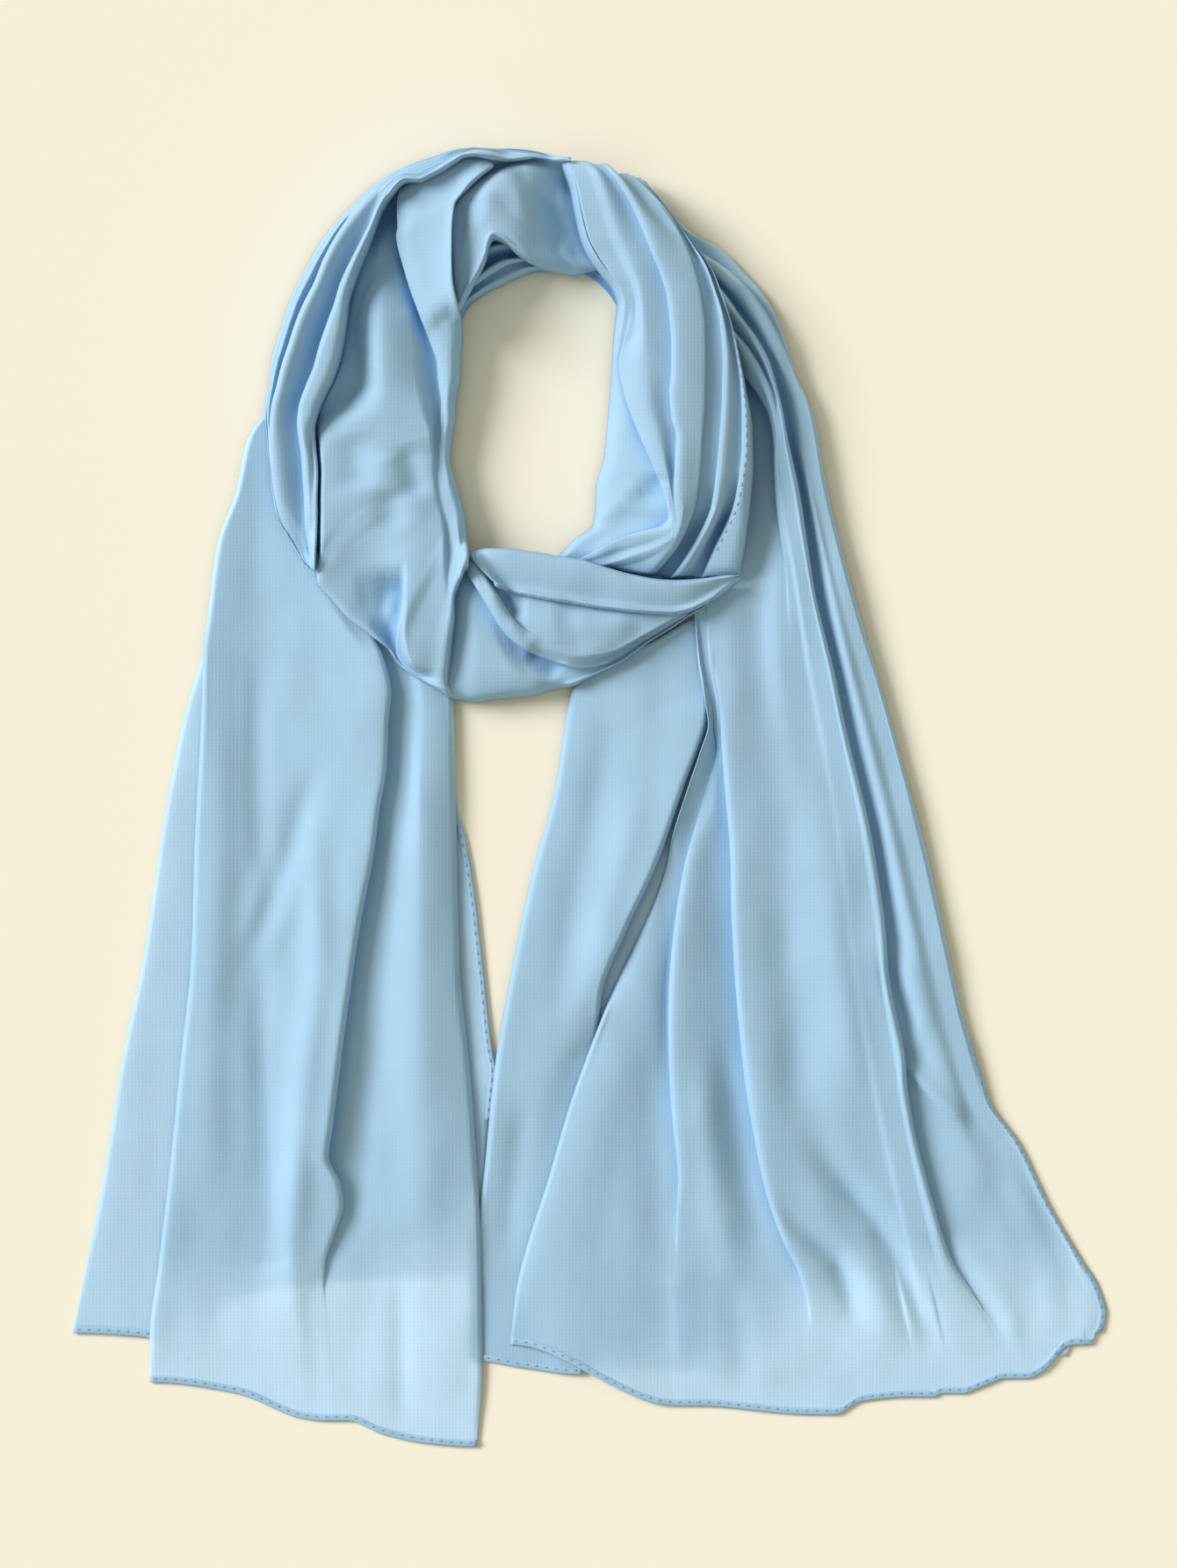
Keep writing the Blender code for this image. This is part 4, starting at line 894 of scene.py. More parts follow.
# %% Right end, front: lines
RIGHT_TAIL_FRONT = (
    # name, offset, swelling, ((x, y, height, low), ...)
    ("left_edge", 2.2, 2.5, (
        (14.8, 269, 3, 4), (20.5, 241.9, 3, 4), (26.2, 217.3, 3, 4), (31.2, 192.7, 3, 4),
        (36.1, 168.1, 3, 4), (41.8, 143.5, 3, 4), (45.5, 118.9, 3, 5), (48.4, 94.3, 3, 7),
        (50, 75.8, 3, 8), (51.2, 61.5, 3, 8), (53.7, 48, 3, 8), (55.8, 36.1, 3, 6), (52.1, 22.1, 2.6, 4),
        (46.3, 4.9, 2.6, 4), (39.4, -16.8, 2.6, 4), (36.1, -32, 2.6, 4), (29.5, -50.8, 2.6, 4.4),
        (20.5, -70.1, 2.6, 5), (12.7, -86.1, 2.6, 5.5), (6.6, -100.9, 2.8, 6), (-0.8, -120.1, 3, 6.5),
        (-8.6, -141.9, 3, 6.5), (-19.7, -180, 3, 6), (-27.5, -204.2, 2.8, 5.5), (-33.6, -228, 2.4, 4.6),
        (-35.3, -241.9, 2, 3), (-36.5, -254.2, 1.3, 1.5))),
    ("left_trough_fold", -2.5, 0, (
        (16.4, 270.6, 3, 3), (23, 246, 3, 3), (29.5, 221.4, 3, 3), (35.3, 196.8, 3, 3),
        (41, 172.2, 3, 3), (47.1, 147.6, 3, 3), (50, 118.9, 5, 5), (52.1, 94.3, 8, 8),
        (53.3, 75.8, 9, 9), (54.9, 61.1, 9, 9), (57.4, 48, 9, 9), (58.6, 36.1, 8, 7), (56.6, 22.1, 5, 4),
        (52.9, 4.9, 4.5, 4), (47.6, -16.8, 6, 4), (43.9, -34, 8, 4), (39.4, -64, 10, 3.4),
        (37.3, -90.2, 10, 3.2), (37.3, -118.1, 10, 3.2), (38.9, -148, 10, 3.2), (41.8, -175.1, 8, 3.4),
        (41, -198, 5.5, 3.6), (41.8, -217.3, 3.5, 3.3), (45.1, -282.9, 1.5, 1.4))),
    ("main_fold", -2.5, 0, (
        (18, 272.2, 3, 3), (24.6, 250.1, 3, 3), (32, 225.5, 3, 3), (38.9, 200.9, 3, 3),
        (45.9, 176.3, 3, 3), (53.3, 151.7, 3, 3), (55.8, 118.9, 6, 6), (57.4, 90.2, 9, 9),
        (58.2, 73.8, 10, 10), (59, 61.1, 11, 11), (60.7, 48, 12, 11), (61.9, 25, 12, 6),
        (63.5, 4.1, 12, 4), (65.6, -20.1, 12, 3.6), (66.8, -59.9, 12, 3.4), (69.7, -102.1, 12, 3.2),
        (75, -146, 12, 3.2), (83.6, -187, 11, 3.2), (89.8, -204.2, 10, 3.4), (97.6, -220.2, 8, 3.4),
        (101.7, -232.1, 5.5, 3.2), (104.5, -248, 3, 2.8), (109.1, -287, 1.6, 1.5))),
    ("right_swell", 0, 0, (
        (19.7, 273.9, 3), (26.2, 256.2, 3), (33.6, 237.8, 3), (41.8, 217.3, 3), (55.3, 192.7, 3),
        (67.6, 168.1, 3), (73.8, 143.5, 3.5), (77.1, 110.7, 6), (81.2, 61.9, 8), (90.2, 0, 9),
        (97.2, -79.9, 9), (107, -146, 8), (118.1, -200.1, 6), (127.9, -280.8, 1.4))),
    ("cusp", -2.5, 0, (
        (21.3, 275.5, 3, 3), (28.7, 260.3, 3, 3), (36.1, 248, 3, 3), (44.3, 237, 4, 3),
        (54.5, 222.2, 7, 3), (64.8, 208.3, 10, 3), (71.8, 197.6, 12, 3), (78.7, 188.6, 14, 3),
        (83.6, 178.8, 15, 3), (85.7, 168.1, 15, 3.5), (86.1, 155.8, 15, 4.5), (86.9, 141.4, 14, 6),
        (88.6, 127.1, 13, 7.5), (91.4, 108.6, 11, 9), (96.3, 61.5, 9.5, 9.5), (106.6, 0, 9.5, 9.5),
        (116.8, -79.9, 9.5, 9.5), (127.9, -146, 8.5, 8.5), (143.5, -213.2, 5, 5),
        (155.8, -278.8, 1.5, 1.5))),
    ("upper_fold", 2.2, 0, (
        (23, 276.8, 3, 3), (30.3, 262.4, 4, 4), (37.7, 250.1, 6, 6), (45.9, 241.1, 9, 7),
        (54.5, 232.5, 12, 7), (65.2, 220.6, 15, 8), (73.8, 210.7, 16, 9), (79.9, 200.9, 17, 10),
        (84.9, 189.4, 17, 14), (87.7, 177.1, 16, 16), (89.8, 159.9, 15, 15), (93.1, 139.4, 14, 14),
        (98.4, 110.7, 13, 13), (108.6, 61.5, 11, 11), (120.9, 0, 10, 10), (132, -79.9, 10, 10),
        (141.4, -139.4, 9.5, 9.5), (155.8, -209.1, 6, 6), (170.1, -277.2, 1.5, 1.5))),
    ("outer_fold", 2.5, 0, (
        (24.6, 278, 3, 3), (32, 264.4, 4, 4), (40.2, 253.4, 8, 5), (49.2, 246.8, 11, 5),
        (58.2, 241.1, 14, 4), (64, 234.5, 15, 4), (70.9, 224.7, 16, 5), (79.1, 213.2, 17, 6),
        (84.9, 201.3, 17, 5), (88.6, 188.2, 17, 3), (93.5, 164, 17, 3), (97.2, 148, 16, 3.4),
        (102.1, 118.1, 14, 3.6), (106.6, 91, 13, 3.6), (114, 61.5, 12.5, 3.6), (119.7, 34, 12, 3.6),
        (130.4, -9.8, 11.5, 3.4), (137.3, -50.8, 11, 3), (141, -86.9, 12.5, 2), (147.2, -118.1, 12, 2.8),
        (148.8, -136.1, 11, 3), (155, -166.9, 10, 3), (163.6, -198, 9, 3), (168.9, -213.2, 8, 3),
        (179.2, -230, 6, 3), (188.6, -246, 3.2, 2.8), (198.8, -270.2, 1.6, 1.5))),
    ("outer_swell", 0, 0, (
        (26.2, 279.2, 3), (33.2, 267.7, 5), (41.4, 257.9, 8), (51.2, 250.1, 10), (60.7, 243.5, 12),
        (68.1, 237, 13), (75.8, 228, 13), (83.6, 216.5, 12), (89.4, 205, 10), (95.1, 188.6, 8),
        (100, 159.9, 9), (109.1, 118.1, 10), (119.7, 69.7, 10), (135.3, 8.2, 9), (149.6, -55.8, 9),
        (160.7, -105.8, 8), (176.3, -159.9, 5.5), (196.8, -213.2, 3.5), (213.2, -266.1, 1.4))),
    ("hem_step", 1.8, 0, (
        (27.9, 280, 3, 3), (34.9, 270.6, 5, 4), (43.5, 262, 8, 4), (52.1, 255, 11, 4),
        (61.5, 248.9, 13, 5), (69.7, 242.3, 14, 6), (77.1, 234.5, 14, 7), (84.9, 222.6, 13, 7),
        (91, 210.7, 11, 7.5), (95.9, 198.8, 9, 8), (100.4, 186.1, 9, 9), (103.7, 168.1, 9, 9),
        (107.4, 145.5, 9, 9), (119.7, 96.3, 9, 9), (130.8, 57.8, 8, 8), (144.7, 8.2, 7, 7),
        (162.4, -64, 6.5, 6.5), (171.8, -105, 6, 6), (182.4, -141.9, 4, 4), (196.4, -161.9, 2.4, 2.4),
        (210.3, -189.8, 2, 2), (225.9, -219.3, 1.6, 1.6), (231.6, -254.2, 1.3, 1.3))),
    ("outer_edge", -2.5, 0, (
        (29.9, 282.1, 2, 4), (34, 278, 2, 4.5), (38.9, 273.5, 2, 5), (44.7, 268.1, 2, 5.5),
        (51.2, 262.8, 2, 6), (59.4, 258.7, 2.4, 6), (65.6, 254.2, 2.4, 6), (73.4, 245.6, 2.4, 7),
        (81.2, 237, 2.4, 7), (87.3, 226.7, 2.4, 7), (92.7, 212.4, 2.4, 7), (96.3, 199.3, 2.4, 7),
        (101.7, 188.6, 2.4, 7), (105.8, 177.1, 2.4, 7.5), (110.3, 152.1, 2.4, 8), (114.8, 132, 2.4, 8),
        (125, 93.5, 2.4, 8), (135.3, 57.8, 2.4, 8), (149.2, 8.2, 2.4, 7), (156.2, -16.8, 2.4, 6.5),
        (166.9, -64, 2.4, 6), (176.3, -105, 2.4, 5.5), (186.5, -139.8, 2, 4), (200.9, -161.1, 1.6, 2.4),
        (214.8, -189.8, 1.4, 2), (230.4, -216.1, 1.4, 2), (237.8, -228, 1.3, 1.6),
        (241.1, -237.8, 1.3, 1.5), (239.8, -248.5, 1.3, 1.4))),
)
print(len(RIGHT_TAIL_FRONT), "lines")

# %% Right end, front: creases
RIGHT_TAIL_CREASES = (
    # depth, width, ((x, y), ...), crisp side
    (-3, 5, ((82, -180.4), (97.6, -198.4), (115.6, -214.4), (121.8, -230), (126.3, -252.1)), 0),
    (-2.6, 7, ((62.3, -102.5), (68.1, -147.6), (73.8, -180.4), (80.4, -202.9), (87.7, -221.4)), 0),
    (2.6, 7, ((51.7, -110.7), (54.9, -151.7), (59, -184.5), (64.8, -213.2), (68.9, -237.8)), 0),
    (-2.2, 6, ((29.5, -110.7), (30.3, -151.7), (31.2, -188.6), (32.8, -221.4)), 0),
    (-4.5, 6, ((100.4, -155.8), (122.2, -182), (135.3, -198.4), (143.5, -213.2), (150.9, -228.8),
               (158.3, -245.2), (163.2, -266.5)), 0),
    (2, 7, ((96.3, -159.9), (112.8, -196.8), (129.2, -217.3), (139.4, -241.9), (145.1, -266.5)), 0),
    (-2.5, 5, ((159.9, -196.8), (173.4, -218.9), (181.6, -230.4), (190.2, -243.1), (198, -260.3)), 0),
    (-3.5, 5, ((137.8, -69.7), (142.7, -84), (147.6, -98.4), (151.7, -116.8)), 0),
    (3, 5, ((145.5, -121.4), (156.2, -134.5), (167.7, -145.5), (176.3, -155.8)), 1),
    (-2, 9, ((91, -28.7), (92.7, -77.9), (96.3, -127.1), (100.4, -172.2)), 0),
    (2, 9, ((106.6, 12.3), (112.8, -45.1), (119.7, -102.5), (129.2, -159.9)), 0),
    (-1.6, 8, ((26.6, -106.6), (18.4, -151.7), (8.2, -196.8), (-2, -237.8)), 0),
    (1.5, 8, ((41, -209.1), (43.5, -241.9), (45.9, -270.6)), 0),
    (-1.5, 6, ((65.6, -217.3), (70.5, -250.1), (73.8, -282.9)), 0),
    (1.5, 5, ((186.5, -159.9), (202.9, -188.6), (215.2, -221.4), (219.3, -258.3)), 0),
)
print(len(RIGHT_TAIL_CREASES), "creases")

# %% Right end, front: laid
lay_sheet("right_end_front", "right_tail_front", slanted, RIGHT_TAIL_FRONT, layers=1.15,
          creases=RIGHT_TAIL_CREASES)

# %% [markdown]
# ## Left end, front
#
# It comes out beneath the loop's left arm and lies over the left under layer. One long fold runs down
# its middle, with a trough at its right, and the folds soften towards the hem.

# %% Left end, front: lines
LEFT_TAIL_FRONT = (
    # name, offset, swelling, ((x, y, height, low), ...)
    ("left_fold", 2.5, 0, (
        (-146, 186, 3, 6), (-159, 169, 3, 6), (-165, 143, 3, 6), (-173, 121, 3, 6),
        (-178, 86, 3, 6), (-180, 70, 3, 6), (-181, 39, 3, 6), (-184, -19, 3, 5.5),
        (-186, -78, 3, 5.5), (-190, -116, 3, 5.5), (-196, -175, 3, 5), (-201, -218, 2.6, 4.5),
        (-205, -251, 2, 3), (-205, -272, 1.3, 1.5))),
    ("first_trough", 0, 0, (
        (-141, 160, 5), (-154, 120, 4.4), (-155, 59, 4), (-154, 2, 3.8), (-152, -40, 3.6),
        (-154, -72, 3.6), (-150, -182, 3.6), (-158, -240, 2.6), (-165, -277, 1.3))),
    ("first_ridge", 0, 0, (
        (-133, 133, 6), (-131, 60, 6.5), (-127, 2, 7.5), (-125, -79, 8.5), (-132, -123, 9),
        (-135, -152, 8.5), (-138, -211, 6.5), (-138, -227, 5), (-133, -289, 1.5))),
    ("main_fold", 2.5, 0, (
        (-107.8, 93.9, 7, 6.5), (-100.9, 77.9, 9, 5.5), (-95.5, 66, 12, 4.6), (-91.8, 50, 12, 4),
        (-93.1, 36.1, 12, 3.8), (-93.9, 16, 12, 3.6), (-97.2, -4.1, 12, 3.4), (-100, -25.8, 12, 3.2),
        (-106.2, -57.8, 12, 3), (-113.2, -106.2, 12.5, 3), (-118.9, -150.9, 12.5, 3),
        (-120.9, -166.9, 11.5, 3), (-115.6, -179.2, 10, 3.2), (-114.4, -189, 9, 3.4),
        (-118.1, -202.1, 8, 3.4), (-123, -217.3, 6, 3.2), (-123.8, -231.6, 3.6, 3),
        (-121.4, -258.3, 2.4, 2.2), (-118.1, -289.9, 1.5, 1.4))),
    ("main_trough", 0, 0, (
        (-92, 80, 6), (-85, 60, 5), (-84, 16, 4.6), (-89, -26, 4.2), (-97, -80, 3.4),
        (-105, -130, 3), (-107, -165, 3.2), (-101, -195, 3.6), (-98, -240, 2.8), (-97, -296, 1.3))),
    ("right_ridge", 0, 0, (
        (-80, 70, 7), (-76, 40, 7.5), (-78, 2, 8.5), (-77, -80, 8), (-75, -175, 7),
        (-77, -240, 4), (-79, -300, 1.5))),
    ("right_edge", -2.5, 0, (
        (-66, 61, 3.2, 6), (-63, 46, 3, 6), (-62, 2, 3, 6), (-61, -40, 3, 6), (-60, -79, 3, 6),
        (-56, -119, 3, 6), (-52.5, -163, 3, 6), (-50.4, -207, 3, 5), (-49.6, -265, 2.6, 4),
        (-52, -302, 1.3, 1.6))),
)
print(len(LEFT_TAIL_FRONT), "lines")

# %% Left end, front: creases
LEFT_TAIL_CREASES = (
    # depth, width, ((x, y), ...), crisp side
    (3, 7, ((-127.1, 12.3), (-125.5, -79.5), (-131.6, -123.4), (-134.5, -152.5), (-136.5, -189),
            (-138.2, -211.1), (-139, -254.2)), 0),
    (-2.5, 8, ((-155, 77.9), (-155.4, 58.6), (-154.2, 2.5), (-152.5, -40.2), (-153.3, -61.5)), 0),
    (-2.5, 6, ((-124.6, 24.6), (-137.3, -18.9), (-147.2, -47.1), (-155.4, -68.1), (-161.5, -86.1)), 0),
    (-2.5, 8, ((-154.2, -61.5), (-153.8, -72.2), (-151.7, -127.1), (-150.5, -182), (-150.1, -200.9)), 0),
    (2.5, 12, ((-82, 45.1), (-80.8, 2.5), (-78.7, -86.1), (-77.5, -174.7), (-77.1, -209.1)), 0),
    (1.8, 9, ((-171.4, 69.7), (-173, 4.1), (-174.2, -57.4), (-176.3, -139.4), (-178.8, -221.4)), 0),
    (-1, 5, ((-88.6, -217.3), (-87.7, -250.1), (-86.9, -299.3)), 0),
    (-0.8, 2.5, ((-158.3, -214.4), (-147.6, -215.7), (-137.8, -214)), 0),
    (-1.5, 6, ((-102.5, -98.4), (-105.8, -143.5), (-109.1, -184.5), (-111.5, -217.3)), 0),
)
print(len(LEFT_TAIL_CREASES), "creases")

# %% Left end, front: laid
lay_sheet("left_end_front", "left_tail_front", down, LEFT_TAIL_FRONT, creases=LEFT_TAIL_CREASES)
tail_names = list(sheets)
tail_tops = pile.top.copy()
print("the two ends are laid:", len(tail_names), "sheets")

# %% [markdown]
# ## Loop, under-folds
#
# Two narrow folds of the layer below peek out at the top left of the neck opening.

# %% Loop, under-folds: lines
RING_UNDER_FOLD = (
    # name, offset, swelling, ((x, y, height, low), ...)
    ("inner_edge", 2.2, 0, (
        (-61.1, 215.7, 2, 6), (-58.6, 224.7, 2, 9), (-55.3, 230.8, 2, 11), (-49.2, 235.3, 2, 12),
        (-40.6, 239.8, 2, 12), (-32, 243.9, 2, 12), (-24.6, 246.4, 2, 11), (-17.6, 246.4, 2, 9),
        (-10.2, 245.6, 2, 7), (-4.1, 243.9, 2, 5))),
    ("light_ridge", -1.8, 0, (
        (-64, 220.6, 8, 8), (-61.9, 228.8, 12, 11), (-58.2, 234.5, 14, 10), (-51.7, 239.4, 16, 9),
        (-44.3, 244.4, 17, 9), (-36.9, 248.5, 16, 9), (-29.5, 250.1, 14, 9), (-21.3, 249.3, 12, 9),
        (-13.1, 247.6, 10, 8), (-6.1, 246.4, 7, 6))),
    ("crevice", 0, 0, (
        (-66, 224.7, 7), (-64.4, 232.9, 8), (-60.7, 239, 9), (-54.9, 243.9, 8), (-47.6, 248.9, 7),
        (-39.8, 252.6, 7), (-32, 253.4, 7), (-23.8, 252.6, 8), (-14.8, 250.5, 7), (-7.4, 248.9, 6))),
    ("upper_ridge", 0, 0, (
        (-67.6, 228.8, 6), (-66.4, 236.2, 9), (-63.1, 242.7, 13), (-57.4, 248, 16), (-50, 253.4, 18),
        (-41.8, 256.7, 18), (-33.6, 257.1, 16), (-25.4, 255.8, 12), (-16.4, 253.4, 9), (-8.2, 251.3, 6))),
    ("outer_edge", 0, 0, (
        (-69.7, 232.9, 4), (-68.5, 240.3, 5), (-65.2, 247.6, 8), (-59, 253.4, 9), (-51.2, 258.3, 9),
        (-43, 261.2, 9), (-34.9, 261.6, 9), (-26.6, 259.9, 8), (-17.6, 256.7, 6), (-9, 254.2, 4))),
)
print(len(RING_UNDER_FOLD), "lines")

# %% Loop, under-folds: laid
lay_sheet("loop_under_fold", None, Around(150, -1), RING_UNDER_FOLD, (1.0, 1.2), layers=2)

# %% [markdown]
# ## Loop, twist
#
# At the top the cloth turns over itself: a smooth bulge with a peak, tucked under the left arm on one
# side and under the right arm on the other.

# %% Loop, twist: lines
RING_TWIST = (
    # name, offset, swelling, ((x, y, height, low), ...)
    ("inner_edge", 2.5, 1, (
        (-60.7, 224.7, 6, 13), (-59, 227.5, 6, 16), (-56.6, 232.1, 6, 19), (-53.3, 237.8, 7, 21),
        (-49.6, 244.4, 8, 23), (-47.1, 250.1, 9, 24), (-45.9, 255.4, 11, 26), (-43.9, 258.7, 12, 27),
        (-38.9, 257.1, 11, 26), (-32.8, 252.1, 10, 24), (-26.6, 248.5, 9, 22), (-17.6, 245.6, 8, 16),
        (-8.6, 244.4, 5, 7), (0.8, 246, 3, 5), (9, 247.6, 3, 4))),
    ("ridge", 0, 0, (
        (-62.7, 231.6, 17), (-61.1, 237.8, 21), (-57.8, 248, 23), (-52.1, 259.1, 26), (-45.1, 265.7, 29),
        (-36.1, 263.2, 28), (-26.6, 256.2, 24), (-18.4, 253.8, 19), (-12.3, 253, 11), (-6.1, 253, 5),
        (3.3, 253.8, 3))),
    ("middle", 0, 0, (
        (-64.8, 250.1, 20), (-62.3, 256.2, 22), (-59, 265.7, 23), (-52.9, 274.7, 27), (-44.7, 278.4, 30),
        (-33.6, 276.3, 29), (-24.6, 271.4, 23), (-16.4, 267.3, 12), (-9.8, 265.7, 5), (0.8, 264.9, 3))),
    ("upper", 0, 0, (
        (-66.4, 262.4, 20), (-63.5, 269.8, 22), (-59, 278, 23), (-50, 285.4, 24), (-40.2, 289.9, 24),
        (-29.5, 291.5, 22), (-20.5, 289, 16), (-13.9, 286.2, 9), (-9, 283.3, 4), (-0.8, 280.4, 3))),
    ("outer_edge", -3.5, 0, (
        (-68.1, 267.3, 12, 16), (-64.8, 273.5, 12, 18), (-58.6, 282.1, 10, 18), (-50.8, 291.9, 6, 14),
        (-41, 299.3, 2, 8), (-29.5, 303, 2, 7), (-18.4, 301.1, 2, 6), (-8.6, 298.1, 2, 5),
        (0.8, 295.2, 2, 3))),
)
print(len(RING_TWIST), "lines")

# %% Loop, twist: creases
TWIST_CREASES = (
    # depth, width, ((x, y), ...), crisp side
    (-2.5, 4.5, ((-36.9, 295.2), (-23.8, 280.8), (-11.5, 264.4)), 0),
    (-2, 4.5, ((-46.7, 281.3), (-28.7, 265.7), (-12.3, 250.1)), 0),
)
print(len(TWIST_CREASES), "creases")

# %% Loop, twist: laid
lay_sheet("loop_twist", "ring_twist", Around(150, -1), RING_TWIST, (1.2, 1.2), layers=2,
          creases=TWIST_CREASES)

# %% [markdown]
# ## Loop, right arm
#
# Long pleats come down from the twist and gather to the left at the bottom, where they fan out from
# behind the hem band.

# %% Loop, right arm: lines
RING_RIGHT_ARM = (
    # name, offset, swelling, ((x, y, height, low), ...)
    ("inner_edge", 4.5, 0, (
        (-13.5, 297.2, 3, 8), (-12.3, 294, 4, 15), (-10.7, 289, 4, 19), (-9, 284.1, 4, 20),
        (-7, 272.2, 4, 22), (-4.1, 259.9, 4, 22), (0, 251.3, 4, 22), (4.5, 245.6, 6, 22),
        (11.1, 237, 5, 20), (13.1, 230.4, 4, 19), (12.3, 222.6, 4, 18), (11.5, 214, 4, 17),
        (10.7, 202.1, 4, 14), (9.4, 184.1, 4, 13), (7, 159.9, 4, 13), (3.3, 145.5, 4, 13),
        (2.9, 135.7, 4, 14), (1.6, 127.5, 4, 14), (-6.1, 121.8, 5, 13), (-16.4, 111.5, 6, 12))),
    ("under_fold", -2.4, 0, (
        (-8.2, 296.8, 14, 14), (-4.9, 292.7, 22, 22), (-1.6, 283.7, 25, 25), (1.2, 272.2, 26, 26),
        (4.5, 259.9, 26, 26), (9, 250.9, 25, 25), (13.9, 243.5, 25, 25), (18, 235.3, 24, 24),
        (19.7, 229.6, 23, 23), (18.9, 222.2, 22, 21), (16.4, 213.2, 22, 20), (13.9, 202.1, 23, 17),
        (16.4, 187.8, 25, 16), (22.5, 170.6, 27, 17), (28.7, 156.2, 28, 19), (33.2, 145.5, 28, 20),
        (36.1, 136.5, 28, 21), (36.9, 130.4, 27, 20), (32.8, 126.3, 25, 19), (27.5, 125, 24, 18),
        (17.6, 122.2, 21, 16), (8.2, 118.1, 18, 14), (-2, 112.8, 15, 12), (-9, 109.9, 13, 11))),
    ("panel_swell", 0, 0, (
        (-1.2, 296.4, 16), (3.3, 291.1, 24), (8.2, 278.8, 27), (13.9, 262.4, 28), (19.7, 247.6, 28),
        (23.8, 234.5, 28), (25, 222.6, 28), (26.6, 202.1, 28), (27.9, 184.1, 29), (32, 168.1, 29),
        (35.7, 153.8, 29), (38.1, 141.4, 28), (39.4, 131.2, 28), (37.7, 123.4, 27), (30.3, 120.1, 25),
        (19.7, 117.3, 22), (8.2, 113.2, 17), (-2, 109.9, 13))),
    ("second_fold", -2.2, 0, (
        (5.7, 295.2, 16, 13), (8.2, 291.9, 24, 20), (13.1, 285.4, 28, 23), (18.9, 275.5, 30, 24.5),
        (24.2, 264, 31, 25.5), (29.1, 251.7, 32, 26.5), (32.8, 242.7, 32, 26.5), (35.7, 233.3, 32, 26.5),
        (37.3, 221.4, 32, 26.5), (38.1, 209.1, 32, 26.5), (38.1, 198.8, 32, 26.5),
        (37.3, 187.8, 32, 26.5), (38.1, 176.3, 32, 26.5), (40.2, 167.3, 32, 26.5),
        (39.8, 156.2, 32, 26.5), (39.4, 144.3, 31, 27), (40.2, 135.3, 30, 28), (41, 127.9, 29, 28),
        (39.4, 120.9, 27, 27), (32.8, 115.6, 24, 24), (22.5, 111.9, 20, 20), (12.3, 109.1, 16, 16),
        (0.8, 107.4, 13, 13))),
    ("third_fold", 2.2, 0, (
        (17.2, 291.1, 12, 12), (20.5, 288.2, 18, 18), (26.6, 282.1, 22, 22), (32.8, 275.5, 24, 24),
        (38.9, 267.3, 25, 24), (43.9, 258.3, 27, 22.8), (48, 248, 29, 24.8), (51.7, 233.7, 30, 25.8),
        (53.7, 219.3, 30, 25.8), (54.1, 202.1, 30, 25.8), (53.7, 184.1, 30, 25.8), (52.5, 166, 30, 25.8),
        (51.2, 148, 29, 24.2), (49.2, 135.7, 28, 20.7), (45.5, 125, 26, 16), (41.8, 117.7, 24, 13),
        (35.7, 109.9, 20, 10), (30.7, 104.5, 14, 9))),
    ("fourth_fold", -2, 0, (
        (19.7, 290.3, 11, 11), (23.4, 287, 16, 16), (29.5, 280.4, 19, 19), (35.7, 273.5, 20, 20),
        (41.4, 265.7, 22, 21), (47.6, 256.2, 24, 21), (53.3, 246, 27, 23.6), (57, 235.8, 27, 23.6),
        (60.3, 222.6, 28, 24.6), (61.9, 202.1, 28, 24.6), (61.5, 184.1, 28, 24.6), (60.3, 166, 28, 24.6),
        (58.6, 148, 27, 23.1), (56.6, 135.3, 25, 19.2), (53.3, 127.1, 24, 15), (48.4, 118.1, 22, 12),
        (43, 109.5, 18, 10), (38.5, 103.3, 12, 9))),
    ("hem_fold", -2, 0, (
        (22.1, 289.5, 10, 10), (25.8, 286.2, 13, 13), (31.6, 279.6, 15, 15), (37.3, 272.2, 17, 16),
        (43, 264.4, 19, 17), (50, 255, 21, 18), (55.8, 246, 24, 21), (60.3, 234.5, 25, 22),
        (64.8, 221.4, 25, 22), (68.1, 205.8, 26, 23), (70.1, 192.3, 26, 23), (70.9, 177.9, 26, 23),
        (70.9, 163.6, 26, 23), (70.1, 153.8, 26, 23), (68.9, 145.1, 25, 20.7), (66.8, 135.3, 23, 16),
        (63.1, 126.3, 21, 11), (59, 118.1, 19, 10), (54.9, 108.6, 15, 9), (52.9, 103.3, 11, 9))),
    ("outer_edge", -2.4, 0, (
        (27.1, 288.6, 3, 10), (29.1, 285.4, 4, 13), (34, 279.2, 5, 15), (39.4, 271.8, 6, 16),
        (45.1, 263.6, 6, 17), (52.1, 254.2, 7, 18), (57.8, 245.2, 8, 19), (62.3, 233.7, 9, 20),
        (66.8, 219.8, 10, 21), (70.5, 204.2, 10, 21), (73.8, 189.8, 10, 22), (76.7, 173, 10, 22),
        (77.1, 156.2, 10, 22), (76.3, 144.3, 10, 22), (74.6, 130, 10, 21), (73, 117.7, 9, 19),
        (71.3, 108.6, 8, 16), (70.5, 103.3, 6, 10))),
)
print(len(RING_RIGHT_ARM), "lines")

# %% Loop, right arm: creases
RIGHT_ARM_CREASES = (
    # depth, width, ((x, y), ...), crisp side
    (-3, 5, ((32, 151.7), (29.5, 142.7), (24.6, 135.3)), 0),
    (1.8, 3, ((35.7, 127.1), (26.6, 125.5), (16.4, 122.2), (7.4, 117.3), (-2.9, 111.5)), 0),
    (1.8, 3, ((29.5, 150.5), (21.3, 145.1), (15.6, 138.6), (8.2, 132), (0.8, 126.3)), 0),
    (-2, 3, ((36.9, 120.5), (26.6, 117.3), (14.3, 114), (4.1, 109.9)), 0),
)
print(len(RIGHT_ARM_CREASES), "creases")

